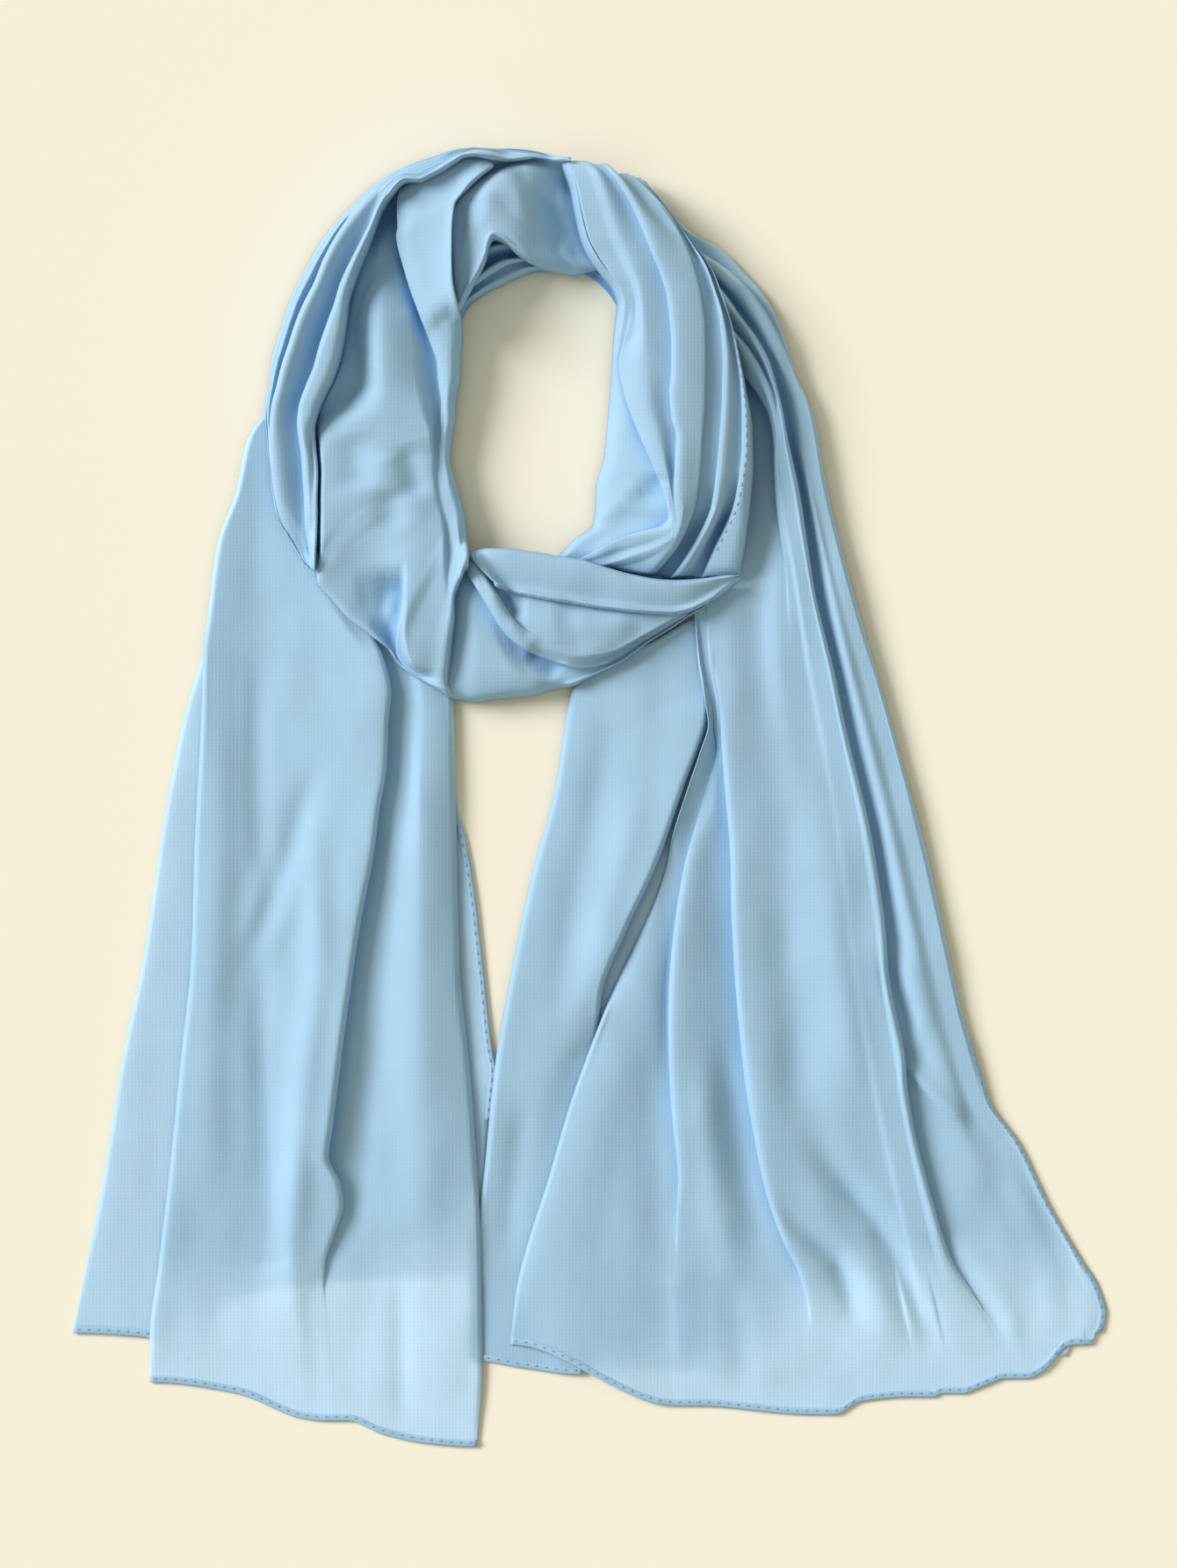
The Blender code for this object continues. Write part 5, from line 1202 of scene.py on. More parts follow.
# %% Loop, right arm: laid
lay_sheet("loop_right_arm", "ring_right_arm", down, RING_RIGHT_ARM, (1.2, 1.4), layers=2,
          creases=RIGHT_ARM_CREASES)

# %% [markdown]
# ## Loop, crossing
#
# The stretch that crosses below the neck. A lit strip runs over it from the left arm and dies away in a
# lap fold.

# %% Loop, crossing: lines
RING_CROSSING = (
    # name, offset, swelling, ((x, y, height, low), ...)
    ("inner_edge", 0, 0, (
        (-61.9, 113.2, 12), (-57.4, 113.6, 13), (-51.2, 111.9, 13), (-45.1, 111.1, 13), (-34, 110.3, 13),
        (-23, 108.6, 13), (-11.9, 107, 13), (-1.2, 104.5, 13), (9.8, 101.3, 13), (20.9, 98.8, 12),
        (32, 97.2, 12), (45.1, 97.6, 12), (57.4, 100, 11), (66.8, 102.5, 9))),
    ("strip_right", -2, 0, (
        (-61.5, 110.7, 14, 14), (-56.6, 111.9, 18, 16), (-53.3, 110.3, 22, 17), (-48.4, 104.5, 25, 18),
        (-42.6, 95.9, 26, 18), (-38.1, 88.6, 26, 19), (-33.6, 82.4, 25, 21), (-27.5, 77.5, 23, 22),
        (-16.4, 73, 22, 22), (-3.3, 70.5, 20, 20), (12.3, 71.8, 19, 19), (26.6, 78.7, 17, 17),
        (38.9, 85.3, 15, 15), (51.2, 91.4, 14, 14), (62.3, 98.4, 11, 11), (68.5, 101.7, 9, 9))),
    ("lap_fold", 2.2, 0, (
        (-61.1, 107.4, 14, 13), (-57.8, 107.4, 18, 14), (-54.9, 102.5, 22, 15), (-50.8, 95.9, 25, 16),
        (-45.1, 86.5, 25, 16), (-38.9, 77.1, 24, 15), (-32, 70.9, 23, 13), (-23.8, 66.8, 21, 12),
        (-12.3, 62.7, 19, 12), (-2.5, 60.7, 16, 12), (5.7, 62.3, 14, 12), (14.3, 66.4, 13, 12),
        (26.6, 74.6, 12, 12), (38.9, 82.4, 12, 12), (51.2, 89.4, 11, 11), (63.5, 98, 9, 9),
        (68.9, 101.3, 8, 8))),
    ("outer_swell", 0, 0, (
        (-64.8, 77.9, 12), (-57.4, 73.8, 15), (-50, 68.9, 17), (-38.9, 62.3, 17), (-26.6, 56.6, 15),
        (-12.3, 57, 12), (0.8, 59, 11), (13.5, 64.8, 10), (26.6, 73.4, 10), (38.9, 81.2, 10),
        (52.1, 89, 9), (64.4, 97.6, 8), (69.3, 100.9, 7))),
    ("outer_edge", -2.5, 0, (
        (-70.5, 52.1, 3, 9), (-64.8, 47.6, 3, 10), (-57.4, 45.5, 3, 11), (-44.7, 46.3, 3, 12),
        (-32.8, 47.6, 3, 12), (-25.4, 48.4, 3, 12), (-16.4, 51.2, 3, 11), (-7.8, 52.5, 3, 11),
        (-1.2, 55.8, 3, 10), (7.8, 60.3, 3, 10), (15.6, 64, 3, 10), (26.2, 72.2, 3, 10),
        (37.3, 78.7, 3, 10), (46.3, 84.9, 3, 9), (53.7, 90.2, 3, 9), (60.7, 95.1, 3, 8),
        (69.7, 101.3, 3, 6))),
)
print(len(RING_CROSSING), "lines")

# %% Loop, crossing: creases
CROSSING_CREASES = (
    # depth, width, ((x, y), ...), crisp side
    (-3.5, 3.5, ((-39.4, 97.6), (-36.9, 90.2), (-32.8, 82.8)), 0),
    (-3.5, 5, ((-28.7, 70.5), (-19.7, 64.8), (-12.3, 58.2)), 0),
    (1.5, 6, ((-12.3, 83.6), (8.2, 81.2), (24.6, 82.8)), 0),
    (-1.5, 5, ((-8.2, 54.1), (12.3, 67.6), (32.8, 81.2)), 0),
)
print(len(CROSSING_CREASES), "creases")

# %% Loop, crossing: laid
lay_sheet("loop_crossing", "ring_crossing", Around(200, 1), RING_CROSSING, (1.0, 1.2), layers=2,
          creases=CROSSING_CREASES)

# %% [markdown]
# ## Loop, hem band
#
# A smooth band with the scarf's stitched long edge at its lower side. It ends in a point at the right.

# %% Loop, hem band: lines
RING_HEM_BAND = (
    # name, offset, swelling, ((x, y, height, low), ...)
    ("inner_edge", 2, 0.8, (
        (-54.1, 116, 12, 15), (-45.1, 116.8, 16, 22), (-34, 116.4, 15, 23), (-23, 114.8, 15, 23),
        (-14.3, 113.2, 15, 23), (-3.3, 111.5, 15, 23), (9.8, 107.4, 15, 23), (20.9, 104.5, 15, 22),
        (32, 102.5, 14, 22), (38.5, 102.1, 14, 21), (53.7, 102.9, 13, 19), (64, 104.1, 12, 15),
        (70.1, 104.1, 10, 11))),
    ("hem_line", 0, 0, (
        (-45.9, 102.5, 16.5), (-38.9, 100.4, 20), (-28.7, 98, 20.5), (-11.9, 95.1, 20.5),
        (9.8, 91.8, 20), (32, 89.8, 19), (41, 89.8, 18), (48.4, 91.4, 17), (54.5, 94.3, 15),
        (64, 100, 12.5), (70.1, 103.3, 10))),
    ("outer_edge", -1.6, 0, (
        (-43.5, 99.2, 13, 15.5), (-38.9, 96.8, 15, 19), (-28.7, 94.3, 15, 19.5), (-11.9, 91.4, 15, 19.5),
        (9.8, 88.1, 14, 19), (32, 86.1, 13, 18), (41.4, 86.1, 12, 17), (49.2, 88.1, 11, 16),
        (55.3, 91.4, 10, 14), (64.8, 98.4, 9, 11), (70.5, 102.9, 8, 9.5))),
)
print(len(RING_HEM_BAND), "lines")

# %% Loop, hem band: laid
lay_sheet("loop_hem_band", "ring_hem_band", Around(200, 1), RING_HEM_BAND, (1.0, 1.2), layers=2)

# %% [markdown]
# ## Loop, left arm
#
# A broad smooth body with a lapel along the neck opening. Its lower end wraps over the crossing, so its
# last rows roll down to what they lie on.

# %% Loop, left arm: lines
RING_LEFT_ARM = (
    # name, offset, swelling, ((x, y, height, low), ...)
    ("inner_edge", 2, 0.5, (
        (-43.9, 292.3, 16, 19), (-48.4, 288.6, 16, 20), (-55.8, 281.7, 14, 21), (-61.1, 275.9, 12, 22),
        (-62.7, 268.6, 10, 23), (-63.1, 254.2, 9, 23), (-62.3, 237.8, 7, 21), (-60.3, 228.8, 5, 19),
        (-59, 222.6, 4, 18), (-59, 211.1, 4, 17), (-60.3, 192.7, 4, 15), (-61.9, 178.3, 4, 14),
        (-63.5, 168.1, 4, 13), (-64.4, 157.8, 4, 13), (-61.5, 146.8, 4, 13), (-57.8, 132.4, 4, 14),
        (-56.2, 120.1, 5, 15), (-55.3, 112.8, 8, 18), (-55.3, 107.4, 12, 20))),
    ("lapel_crease", 0, 0, (
        (-52.1, 298.9, 18), (-56.6, 296, 20), (-61.1, 289, 20), (-64, 279.6, 21), (-66.8, 269.8, 23),
        (-67.6, 254.2, 23), (-66.8, 237.8, 22), (-65.2, 222.6, 21), (-64.4, 209.1, 20),
        (-64.8, 192.7, 18), (-65.6, 178.3, 16), (-66.4, 168.1, 15), (-66.8, 157.8, 15),
        (-64.4, 146.8, 15), (-61.1, 132.4, 16), (-59, 120.1, 17), (-57.8, 111.9, 20), (-57.4, 105, 22))),
    ("strip_fold", 2.4, 0, (
        (-82.8, 286.2, 16, 5), (-83.2, 282.1, 18, 5), (-82, 274.7, 19, 5), (-80.4, 266.5, 20, 5),
        (-76.3, 249.3, 21, 6), (-73, 234.5, 21, 9), (-70.9, 220.6, 20, 11), (-70.5, 206.6, 18, 11),
        (-69.7, 193.5, 16, 11), (-68.5, 182.9, 15, 11.5), (-68.5, 172.2, 14.5, 12.5),
        (-69.7, 163.2, 15, 14), (-68.5, 153.8, 15, 15), (-66.4, 143.5, 15.5, 15.5),
        (-63.5, 131.2, 16, 16), (-61.5, 119.7, 18, 18), (-60.3, 110.7, 21, 21), (-59, 100.9, 22, 22))),
    ("shoulder", 0, 0, (
        (-86.9, 282.1, 4), (-87.3, 276.3, 4), (-86.9, 265.7, 4), (-85.7, 253.4, 6), (-83.6, 237.8, 12),
        (-82, 221.4, 16), (-81.2, 204.6, 18), (-79.9, 192.7, 19), (-77.1, 180.4, 20), (-73.8, 170.1, 20),
        (-72.2, 159.9, 18), (-72.2, 149.6, 17.5), (-70.5, 137.3, 17.5), (-67.6, 125, 19),
        (-67.2, 110.7, 22), (-66.4, 98.4, 22), (-64.8, 86.1, 22), (-61.9, 83.6, 21))),
    ("body", 0, 0, (
        (-90.2, 279.6, 4), (-91, 274.7, 4), (-91.8, 264.4, 4), (-93.1, 252.1, 8), (-94.3, 235.8, 17),
        (-95.5, 220.6, 22), (-95.1, 204.6, 23), (-93.9, 188.6, 22), (-92.2, 168.1, 20.5),
        (-91, 151.7, 20), (-89.4, 137.3, 20), (-86.1, 120.9, 21), (-83.6, 106.6, 23), (-83.6, 90.2, 24),
        (-84.5, 73.8, 22), (-80.4, 62.7, 20), (-71.8, 61.5, 18), (-64, 64.8, 17))),
    ("body_left", 0, 0, (
        (-93.1, 277.2, 4), (-95.1, 272.2, 4), (-97.2, 264.9, 4), (-100.9, 252.1, 6), (-105, 239.8, 9),
        (-107.4, 229.6, 11), (-109.5, 215.2, 10), (-109.9, 204.6, 9), (-111.1, 193.5, 9),
        (-115.6, 182.4, 13), (-118.9, 172.2, 19), (-118.5, 155.8, 21), (-117.3, 136.1, 22),
        (-115.6, 118.5, 21), (-111.5, 104.5, 17), (-105, 90.2, 13), (-99.2, 81.2, 10), (-94.3, 72.6, 8),
        (-89.4, 65.6, 8), (-82, 59.9, 10), (-73, 55.3, 10), (-65.2, 54.1, 9))),
    ("outer_edge", -2.2, 0, (
        (-95.9, 274.7, 3, 4), (-98, 269.8, 3, 4), (-100.4, 264, 3, 4), (-105, 252.1, 3, 5),
        (-109.5, 239.8, 3, 6), (-112.3, 229.6, 3, 7), (-114.8, 215.2, 3, 7), (-116.4, 204.6, 3, 7),
        (-118.9, 196, 3, 8), (-123, 187.4, 4, 9), (-126.7, 178.8, 7, 11), (-127.1, 172.2, 8, 15),
        (-125.9, 166, 13, 19), (-125, 155.8, 15, 21), (-125, 136.1, 15, 22), (-125, 118.5, 14, 22),
        (-125.9, 110.7, 6, 19), (-126.7, 105.4, 4, 16), (-125.9, 99.6, 3, 14), (-119.7, 92.7, 3, 12),
        (-111.5, 83.6, 3, 10), (-101.7, 76.3, 3, 9), (-92.7, 69.7, 4, 8), (-89.4, 63.5, 3, 7),
        (-85.3, 59.9, 3, 8), (-79.9, 56.2, 3, 8), (-71.8, 52.1, 3, 8), (-64.4, 47.6, 3, 6))),
)
print(len(RING_LEFT_ARM), "lines")

# %% Loop, left arm: creases
LEFT_ARM_CREASES = (
    # depth, width, ((x, y), ...), crisp side
    (-2.5, 8, ((-108.6, 171.4), (-107.4, 155.8), (-105.8, 141)), 0),
    (-2.5, 6, ((-85.3, 166), (-81.2, 151.7), (-79.5, 137.3)), 0),
    (-1.5, 6, ((-94.3, 143.5), (-91, 131.2), (-90.2, 123)), 0),
    (1.5, 9, ((-95.9, 161.9), (-94.3, 149.6), (-95.9, 139.4)), 0),
    (-1.2, 9, ((-108.6, 95.9), (-99.2, 98.4), (-90.2, 96.8)), 0),
    (-11, 11, ((-86.5, 110.7), (-86.5, 102.5), (-87.3, 92.2), (-89, 82), (-90.2, 73.8), (-89.4, 63.1)), -1),
)
print(len(LEFT_ARM_CREASES), "creases")

# %% Loop, left arm: laid
lay_sheet("loop_left_arm", "ring_left_arm", Around(60, 1), RING_LEFT_ARM, (1.2, 1.4), layers=2,
          creases=LEFT_ARM_CREASES, end_roll=5)

# %% [markdown]
# ## Loop, outer pleats
#
# Three narrow pleats run from the top of the loop round its left side and end in a point.

# %% Loop, outer pleats: lines
RING_TOP_BAND = (
    # name, offset, swelling, ((x, y, height, low), ...)
    ("inner_edge", 2.2, 0, (
        (-8.2, 296, 2, 3), (-18.4, 297.5, 2, 4), (-24.2, 297.7, 3, 6), (-29.5, 296.4, 4, 9),
        (-36.9, 295.4, 5, 10), (-43.5, 295.2, 7, 13), (-48, 295.8, 9, 16), (-52.1, 296.6, 12, 19),
        (-57, 296.2, 14, 22), (-61.5, 293.6, 15, 24), (-68.9, 289, 16, 25), (-76.3, 285.4, 16, 26),
        (-85.3, 284.5, 14, 27), (-90.2, 279.6, 13, 28), (-95.1, 273.1, 12, 28), (-98, 265.7, 12, 28),
        (-102.1, 255, 12, 28), (-107, 242.7, 12, 28), (-110.3, 232.5, 12, 28), (-111.9, 220.6, 12, 28),
        (-113.2, 212, 12, 28), (-114.8, 204.6, 12, 28), (-117.7, 196, 12, 27), (-122.2, 186.5, 12, 26),
        (-125.5, 177.9, 12, 24), (-126.7, 172.2, 11, 20), (-126.3, 164, 12, 16),
        (-125.5, 155.8, 12.5, 15), (-125.5, 136.1, 12.5, 15), (-125.9, 120.9, 10, 13),
        (-126.3, 111.5, 5, 9), (-126.7, 105.4, 3, 6))),
    ("third_pleat", 2.2, 0, (
        (-8.2, 296.3, 3, 3), (-18.4, 298.3, 4, 4), (-24.2, 299.1, 6, 6), (-29.9, 299.3, 9, 9),
        (-37.3, 299.5, 10, 10), (-43.9, 300.7, 13, 13), (-48.4, 300.9, 16, 16), (-53.3, 300.5, 19, 19),
        (-58.2, 298.9, 23, 23), (-64, 296, 25, 25), (-71.3, 291.5, 26, 26), (-77.9, 287.8, 27, 27),
        (-86.1, 287.8, 28, 28), (-92.2, 282.5, 29, 28), (-97.2, 274.7, 29, 26), (-102.1, 264, 29, 23),
        (-108.6, 251.7, 29, 20), (-114.8, 238.6, 29, 19), (-118.5, 226.7, 29, 18), (-123, 214.4, 29, 17),
        (-126.7, 201.7, 28, 17), (-130.8, 191.5, 27, 16), (-134.1, 182, 26, 15), (-134.9, 172.2, 24, 14),
        (-133.7, 162.4, 22, 13), (-132.4, 144.3, 20, 12), (-131.6, 127.1, 17, 12), (-130, 114.8, 11, 9),
        (-128.3, 106.6, 5, 5))),
    ("second_pleat", 2, 0.5, (
        (-8.2, 296.6, 3, 3), (-18.4, 299.1, 4, 4), (-24.2, 300.3, 6, 6), (-30.3, 301.1, 8, 8),
        (-37.7, 302, 9, 9), (-44.7, 301.8, 12, 12), (-49.2, 302, 15, 15), (-54.9, 301.8, 19, 19),
        (-59.9, 300.5, 21, 21), (-66.4, 297.7, 23, 23), (-74.6, 293.6, 24, 23), (-83.6, 290.7, 25, 23),
        (-92.2, 287.4, 26, 23), (-98.4, 282.5, 27, 22), (-106.2, 274.7, 27, 21), (-114, 264.9, 27, 19),
        (-121.8, 251.7, 27, 17), (-128.3, 236.6, 27, 15), (-133.7, 225.9, 26, 14),
        (-138.2, 213.2, 26, 13), (-142.3, 200.9, 25, 12), (-144.7, 191.5, 23, 12), (-147.2, 182, 21, 12),
        (-148, 172.2, 19, 13), (-146.8, 155.8, 17, 14), (-144.7, 140.6, 16, 13), (-141, 129.2, 14, 12),
        (-135.3, 118.1, 10, 9), (-130, 107.8, 5, 5))),
    ("first_pleat", 1.8, 0, (
        (-8.2, 297, 3, 3), (-18.4, 299.8, 4, 4), (-24.2, 301.3, 5, 5), (-30.7, 302.3, 6, 6),
        (-38.1, 302.8, 8, 8), (-45.1, 302.6, 10, 10), (-50, 302.6, 12, 12), (-56.2, 302, 15, 15),
        (-63.5, 300.5, 17, 17), (-71.8, 297.2, 18, 17), (-80.4, 294.4, 19, 17), (-86.9, 291.5, 20, 17),
        (-95.5, 285.8, 20, 16), (-102.1, 280.4, 20, 15), (-109.5, 273.9, 20, 14),
        (-116.8, 265.7, 20, 13), (-125, 253.8, 19, 12), (-130.4, 244.8, 19, 11), (-136.1, 233.7, 18, 10),
        (-140.2, 221.8, 17, 10), (-143.5, 211.1, 16, 10), (-146, 202.9, 15, 10), (-148, 191.5, 14, 11),
        (-149.2, 182, 13, 11), (-149.2, 172.2, 13, 12), (-148, 155.8, 13, 12), (-146, 140.6, 12, 11),
        (-143.1, 129.2, 10, 9), (-137.3, 119.7, 8, 7), (-131.6, 109.5, 4, 4))),
    ("outer_edge", -1.8, 0, (
        (-8.2, 297.2, 2, 2.5), (-18.4, 300.5, 2, 2.5), (-24.2, 302.2, 2, 3), (-31.2, 303.3, 2, 4),
        (-38.5, 303.6, 2, 6), (-45.5, 303.6, 3, 8), (-50.4, 303.6, 3, 9), (-61.5, 302.6, 3, 11),
        (-74.2, 299.3, 3, 12), (-86.9, 294.4, 3, 13), (-98.8, 288.2, 3, 13), (-108.6, 279.6, 3, 12),
        (-116.8, 271, 3, 11), (-124.6, 261.2, 3, 11), (-130.8, 250.5, 3, 10), (-136.1, 240.7, 3, 10),
        (-140.6, 230, 3, 9), (-144.7, 217.3, 3, 9), (-148, 206.6, 3, 9), (-149.6, 193.5, 3, 9),
        (-151.3, 182.9, 3, 9), (-150.9, 176.3, 3, 9), (-149.6, 167.3, 3, 9), (-148.8, 154.2, 3, 9),
        (-147.2, 140.6, 3, 9), (-144.3, 129.2, 3, 8), (-139, 120.5, 3, 6), (-133.7, 111.5, 3, 3.5))),
)
print(len(RING_TOP_BAND), "lines")

# %% Loop, outer pleats: laid
lay_sheet("loop_top_band", "ring_top_band", Around(60, 1), RING_TOP_BAND, (1.0, 1.4), layers=2, end_roll=5)

# %% [markdown]
# ## Hems and stitches
#
# Every cut edge of a chiffon scarf is turned twice and sewn with one row of lockstitch, 2.5 mm wide. The
# hem is a small rounded profile that follows the edge: each section is (share of the hem's width inward,
# height above the cloth in mm). Following the woven edge keeps it in place where the cloth lifts.

# %% Rails of a hem
HEM_WIDTH = 2.5
HEM_STEP = 1.8


def evenly(rails, span):
    """Rails read again at even steps over a share of their length, and the places of the steps."""
    run = np.concatenate([[0], np.cumsum(np.linalg.norm(np.diff(rails[0], axis=0), axis=1))])
    count = max(4, int((span[1] - span[0]) * run[-1] / HEM_STEP))
    places = np.linspace(span[0] * run[-1], span[1] * run[-1], count)
    even = [np.stack([np.interp(places, run, rail[:, k]) for k in range(3)], axis=1) for rail in rails]
    return even, places


def rails_along(grid, edge, span=(0.0, 1.0)):
    """The edge of a woven grid and the line one hem's width inside it."""
    field = {"left": grid, "right": grid[:, ::-1], "end": grid[::-1].transpose(1, 0, 2)}[edge]
    inner = []
    for row in field:
        run = np.concatenate([[0], np.cumsum(np.linalg.norm(np.diff(row, axis=0), axis=1))])
        inner.append([np.interp(HEM_WIDTH, run, row[:, k]) for k in range(3)])
    return evenly((field[:, 0], np.array(inner)), span)


print("hem", HEM_WIDTH, "mm wide")

# %% [markdown]
# A stitch is one small capsule of thread on the middle of the hem. There are hundreds, so each has only
# a few faces. Common lockstitch is about 2 to 3 mm long; here each is 2.3 mm and one comes every 4.6 mm,
# so that single stitches show.

# %% Stitches
STITCH_PITCH = 4.6
STITCH_LENGTH = 2.3
STITCH_WIDTH = 0.9
STITCH_HEIGHT = 0.5
HEM_STITCH_RISE = 0.66
SEAM_STITCH_RISE = 0.15


def add_stitches(name, middle, places, rise):
    """Capsules along a line, so high above it."""
    bm = bmesh.new()
    at = places[0] + 0.5 * STITCH_PITCH
    while at < places[-1]:
        ahead = Vector([np.interp(at + 0.5, places, middle[:, k]) for k in range(3)])
        behind = Vector([np.interp(at - 0.5, places, middle[:, k]) for k in range(3)])
        centre = (ahead + behind) * 0.5 + Vector((0, 0, rise))
        turn = (ahead - behind).to_track_quat("X", "Z").to_matrix().to_4x4()
        size = Matrix.Diagonal((STITCH_LENGTH / 2, STITCH_WIDTH / 2, STITCH_HEIGHT / 2, 1))
        place = Matrix.Translation(centre * MM) @ turn @ Matrix.Scale(MM, 4) @ size
        bmesh.ops.create_uvsphere(bm, u_segments=6, v_segments=4, radius=1, matrix=place)
        at += STITCH_PITCH
    return add_piece(name, bm, thread)


print("a stitch every", STITCH_PITCH, "mm")

# %% Hems
HEM_PROFILE = ((-0.25, -0.35), (-0.35, 0.15), (-0.05, 0.5), (0.5, 0.62), (0.85, 0.58), (1.0, 0.3),
               (1.0, -0.2))
HEM_DEPTH = 0.85
# The hem is several layers thick, so its own colour is a little deeper: it takes a small even share of the
# shade blue.
HEM_DEEP_TINT = 0.08
LOWEST = 0.05


def add_hem(name, grid, edge, span=(0.0, 1.0)):
    """A turned edge and its row of stitches."""
    (outer, inner), places = rails_along(grid, edge, span)
    sections = []
    for a, b in zip(outer, inner):
        ring = [a + (b - a) * share + np.array((0, 0, height)) for share, height in HEM_PROFILE]
        sections.append(ring + [ring[0]])
    sections = np.array(sections)
    sections[..., 2] = np.maximum(sections[..., 2], LOWEST)
    bm = grid_mesh(sections)
    bmesh.ops.remove_doubles(bm, verts=bm.verts, dist=1e-6)
    bmesh.ops.holes_fill(bm, edges=bm.edges, sides=0)
    bmesh.ops.recalc_face_normals(bm, faces=bm.faces)
    item = add_piece(name, bm, chiffon)
    set_values(item, "depth", HEM_DEPTH)
    set_values(item, "fold_shade", HEM_DEEP_TINT)
    print(name, len(item.data.polygons), "faces")
    return [item, add_stitches(name + "_stitches", 0.5 * (outer + inner), places,
                               HEM_STITCH_RISE)]


hems = {
    "right_end_front": add_hem("right_front_hem", sheets["right_end_front"], "end")
    + add_hem("right_front_side_hem", sheets["right_end_front"], "right", (0.74, 1.0)),
    "right_end_panel": add_hem("right_panel_hem", sheets["right_end_panel"], "end"),
    "left_end_front": add_hem("left_front_hem", sheets["left_end_front"], "end"),
    "left_end_back": add_hem("left_back_hem", sheets["left_end_back"], "end")
    + add_hem("left_back_side_hem", sheets["left_end_back"], "right", (0.15, 0.75)),
    "loop_hem_band": add_hem("loop_band_hem", sheets["loop_hem_band"], "right"),
}

# %% [markdown]
# The stitched long edge also runs down the outermost pleat but one of the right arm. There it is folded
# over, so only its row of stitches shows.

# %% The stitched pleat
SEAM_SPAN = (0.36, 0.93)
SEAM_COLUMN = columns_of["loop_right_arm"]["hem_fold"] + 3 * FOLD_STEPS - 1
(seam,), seam_places = evenly((sheets["loop_right_arm"][:, SEAM_COLUMN],), SEAM_SPAN)
hems["loop_right_arm"] = [add_stitches("loop_arm_stitches", seam, seam_places, SEAM_STITCH_RISE)]
print("stitches on the pleat over", round(seam_places[-1] - seam_places[0]), "mm")

# %% [markdown]
# ## Painted shade in the hollows
#
# A point that lies lower than the cloth round it gets painted shade in its colour, the more the deeper it
# lies. The raster of heights, softened until each cell is an average of its surroundings, says how high
# the surroundings are. The ends are measured against one another, and only a little against the much
# thicker loop.

# %% Painted shade of every sheet
SHADE_ROUNDS = 60
SHADE_START = 0.4
SHADE_FULL = 7.0
SHADE_CURVE = 1.3
LOOP_SHARE = 0.35
around_loop = softened(pile.top, SHADE_ROUNDS)
around_tails = softened(tail_tops, SHADE_ROUNDS)
around_tails += LOOP_SHARE * (around_loop - around_tails)
# painted shade: the lower a point lies below its surroundings, the deeper blue its colour
for name, grid in sheets.items():
    level = around_tails if name in tail_names else around_loop
    fold_shade = np.clip((pile.read(level, grid) - grid[..., 2] - SHADE_START) / SHADE_FULL, 0, 1)
    set_values(bpy.data.objects[name], "fold_shade", (fold_shade ** SHADE_CURVE).reshape(-1))
    print(name, "deepest hollow", round(float(fold_shade.max()), 2))

# %% [markdown]
# ## Table
#
# The scarf lies on plain matt cream paper. A single large face is enough, and a fine noise keeps the
# paper from looking like a flat fill.

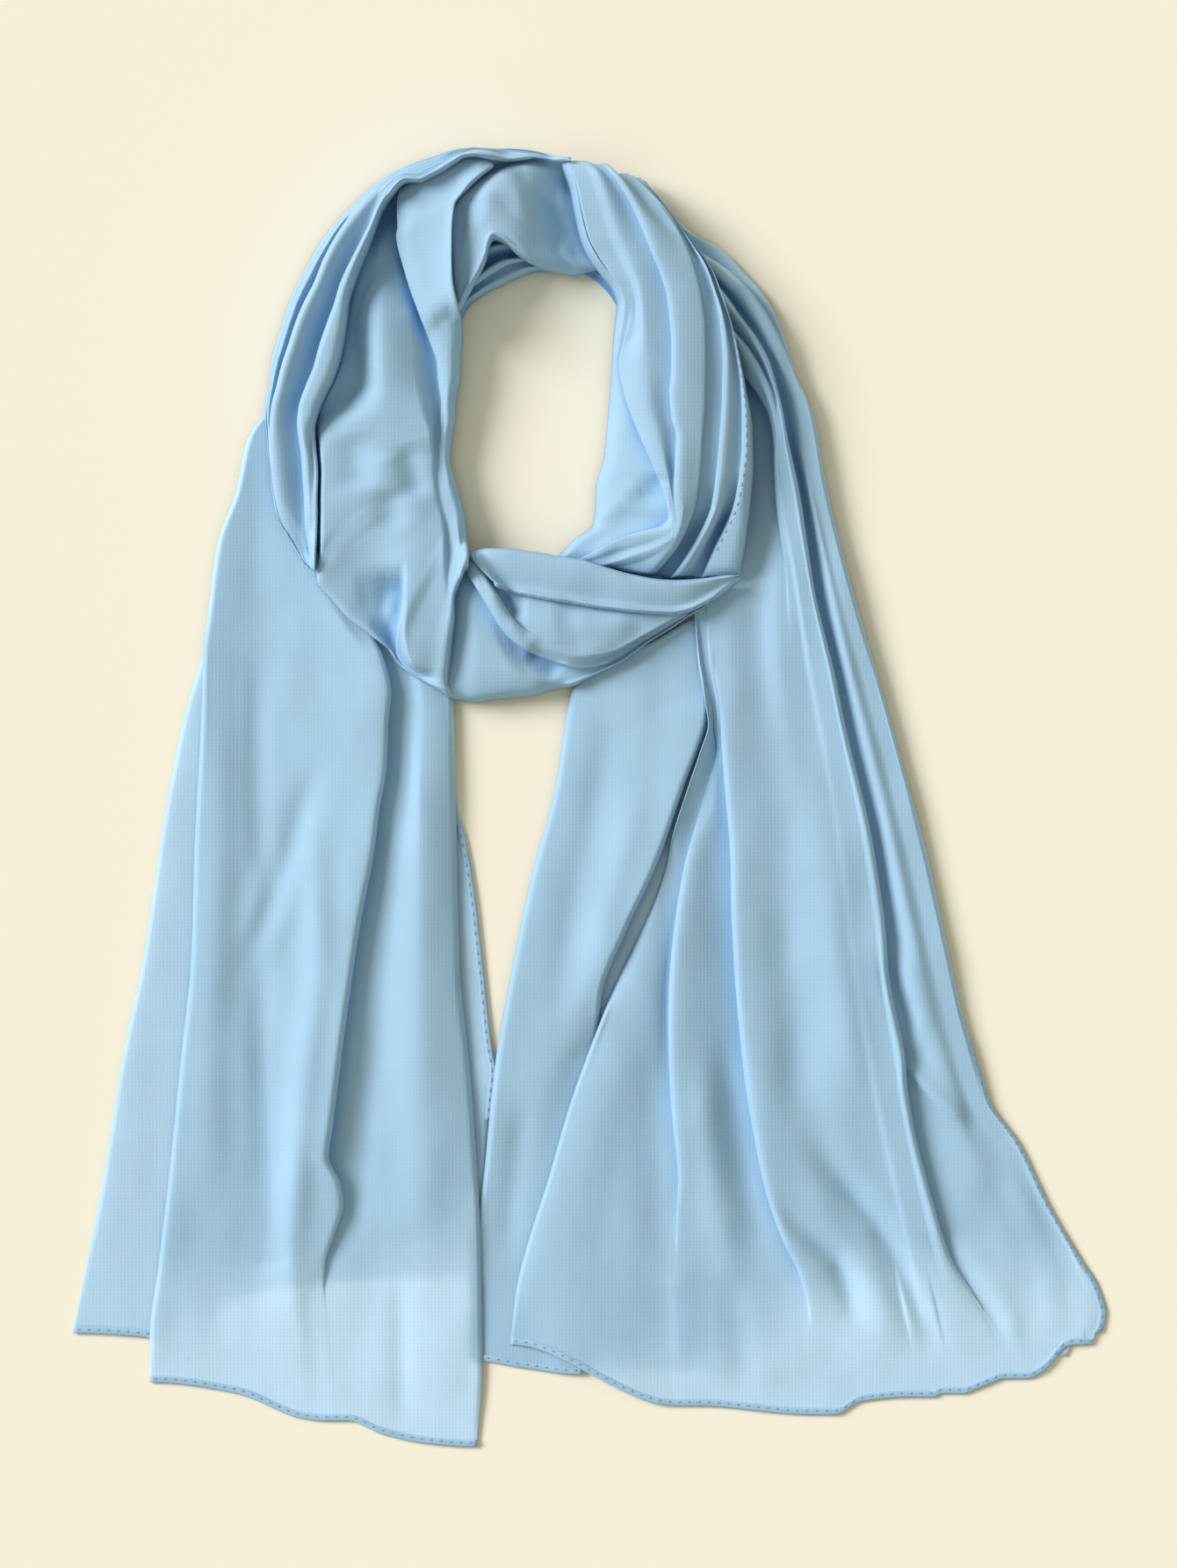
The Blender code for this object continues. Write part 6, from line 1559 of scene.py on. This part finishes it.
# %% Table
PAPER_GRAIN = 1.5 * MM
bm = bmesh.new()
bmesh.ops.create_grid(bm, x_segments=1, y_segments=1, size=3.0)
table_mesh = bpy.data.meshes.new("table")
bm.to_mesh(table_mesh)
bm.free()
paper = bpy.data.materials.new("matt_cream_paper")
paper.use_nodes = True
paper_shader = paper.node_tree.nodes["Principled BSDF"]
paper_shader.inputs["Base Color"].default_value = linear("F5F0DB")
paper_shader.inputs["Roughness"].default_value = 0.9
paper_shader.inputs["Specular IOR Level"].default_value = 0.1
paper_place = add_node(paper.node_tree, "ShaderNodeTexCoord", {})
paper_grain = add_node(paper.node_tree, "ShaderNodeTexNoise", {"Scale": 1 / PAPER_GRAIN},
                       [(paper_place, "Object", "Vector")])
paper_bump = add_node(paper.node_tree, "ShaderNodeBump", {"Strength": 0.1, "Distance": 0.05 * MM},
                      [(paper_grain, "Fac", "Height")])
paper.node_tree.links.new(paper_bump.outputs["Normal"], paper_shader.inputs["Normal"])
table_mesh.materials.append(paper)
table = bpy.data.objects.new("table", table_mesh)
bpy.context.scene.collection.objects.link(table)

# %% [markdown]
# ## Light
#
# One broad soft light from the upper left, low enough that the loop throws a shadow into the neck
# opening and to the right, and a pale even fill from all round. A sun lamp with a wide angle gives the
# same soft light everywhere, which suits a thing laid flat.

# %% Light
LIGHT_FROM = Vector((-1.0, 0.45, 0.68))
sun = bpy.data.lights.new("window_light", "SUN")
sun.energy = 3.45
sun.color = (0.95, 0.93, 1.0)
sun.angle = math.radians(28)
sun_item = bpy.data.objects.new("window_light", sun)
sun_item.rotation_euler = (-LIGHT_FROM).to_track_quat("-Z", "Y").to_euler()
bpy.context.scene.collection.objects.link(sun_item)
world = bpy.data.worlds.new("studio_fill")
bpy.context.scene.world = world
world.use_nodes = True
world.node_tree.nodes["Background"].inputs["Color"].default_value = (1.0, 0.985, 0.85, 1)
world.node_tree.nodes["Background"].inputs["Strength"].default_value = 0.47
bpy.context.scene.view_settings.view_transform = "Standard"
print("light from", tuple(round(value, 2) for value in LIGHT_FROM.normalized()))

# %% [markdown]
# ## Camera
#
# The camera looks straight down, as one would photograph a garment laid on a table. From 2 m up, a long
# lens keeps the raised folds from leaning outwards. The picture covers 731.9 mm from top to bottom.

# %% Camera
PICTURE_HEIGHT = 0.7319
CAMERA_HEIGHT = 2.0
SENSOR = 24.0
camera = bpy.data.objects.new("camera", bpy.data.cameras.new("camera"))
camera.data.sensor_fit = "VERTICAL"
camera.data.sensor_height = SENSOR
camera.data.lens = SENSOR * CAMERA_HEIGHT / PICTURE_HEIGHT
camera.location = (0.0002, 0.0061, CAMERA_HEIGHT + 0.005)
bpy.context.scene.collection.objects.link(camera)
bpy.context.scene.camera = camera
print(f"lens {camera.data.lens:.1f} mm")
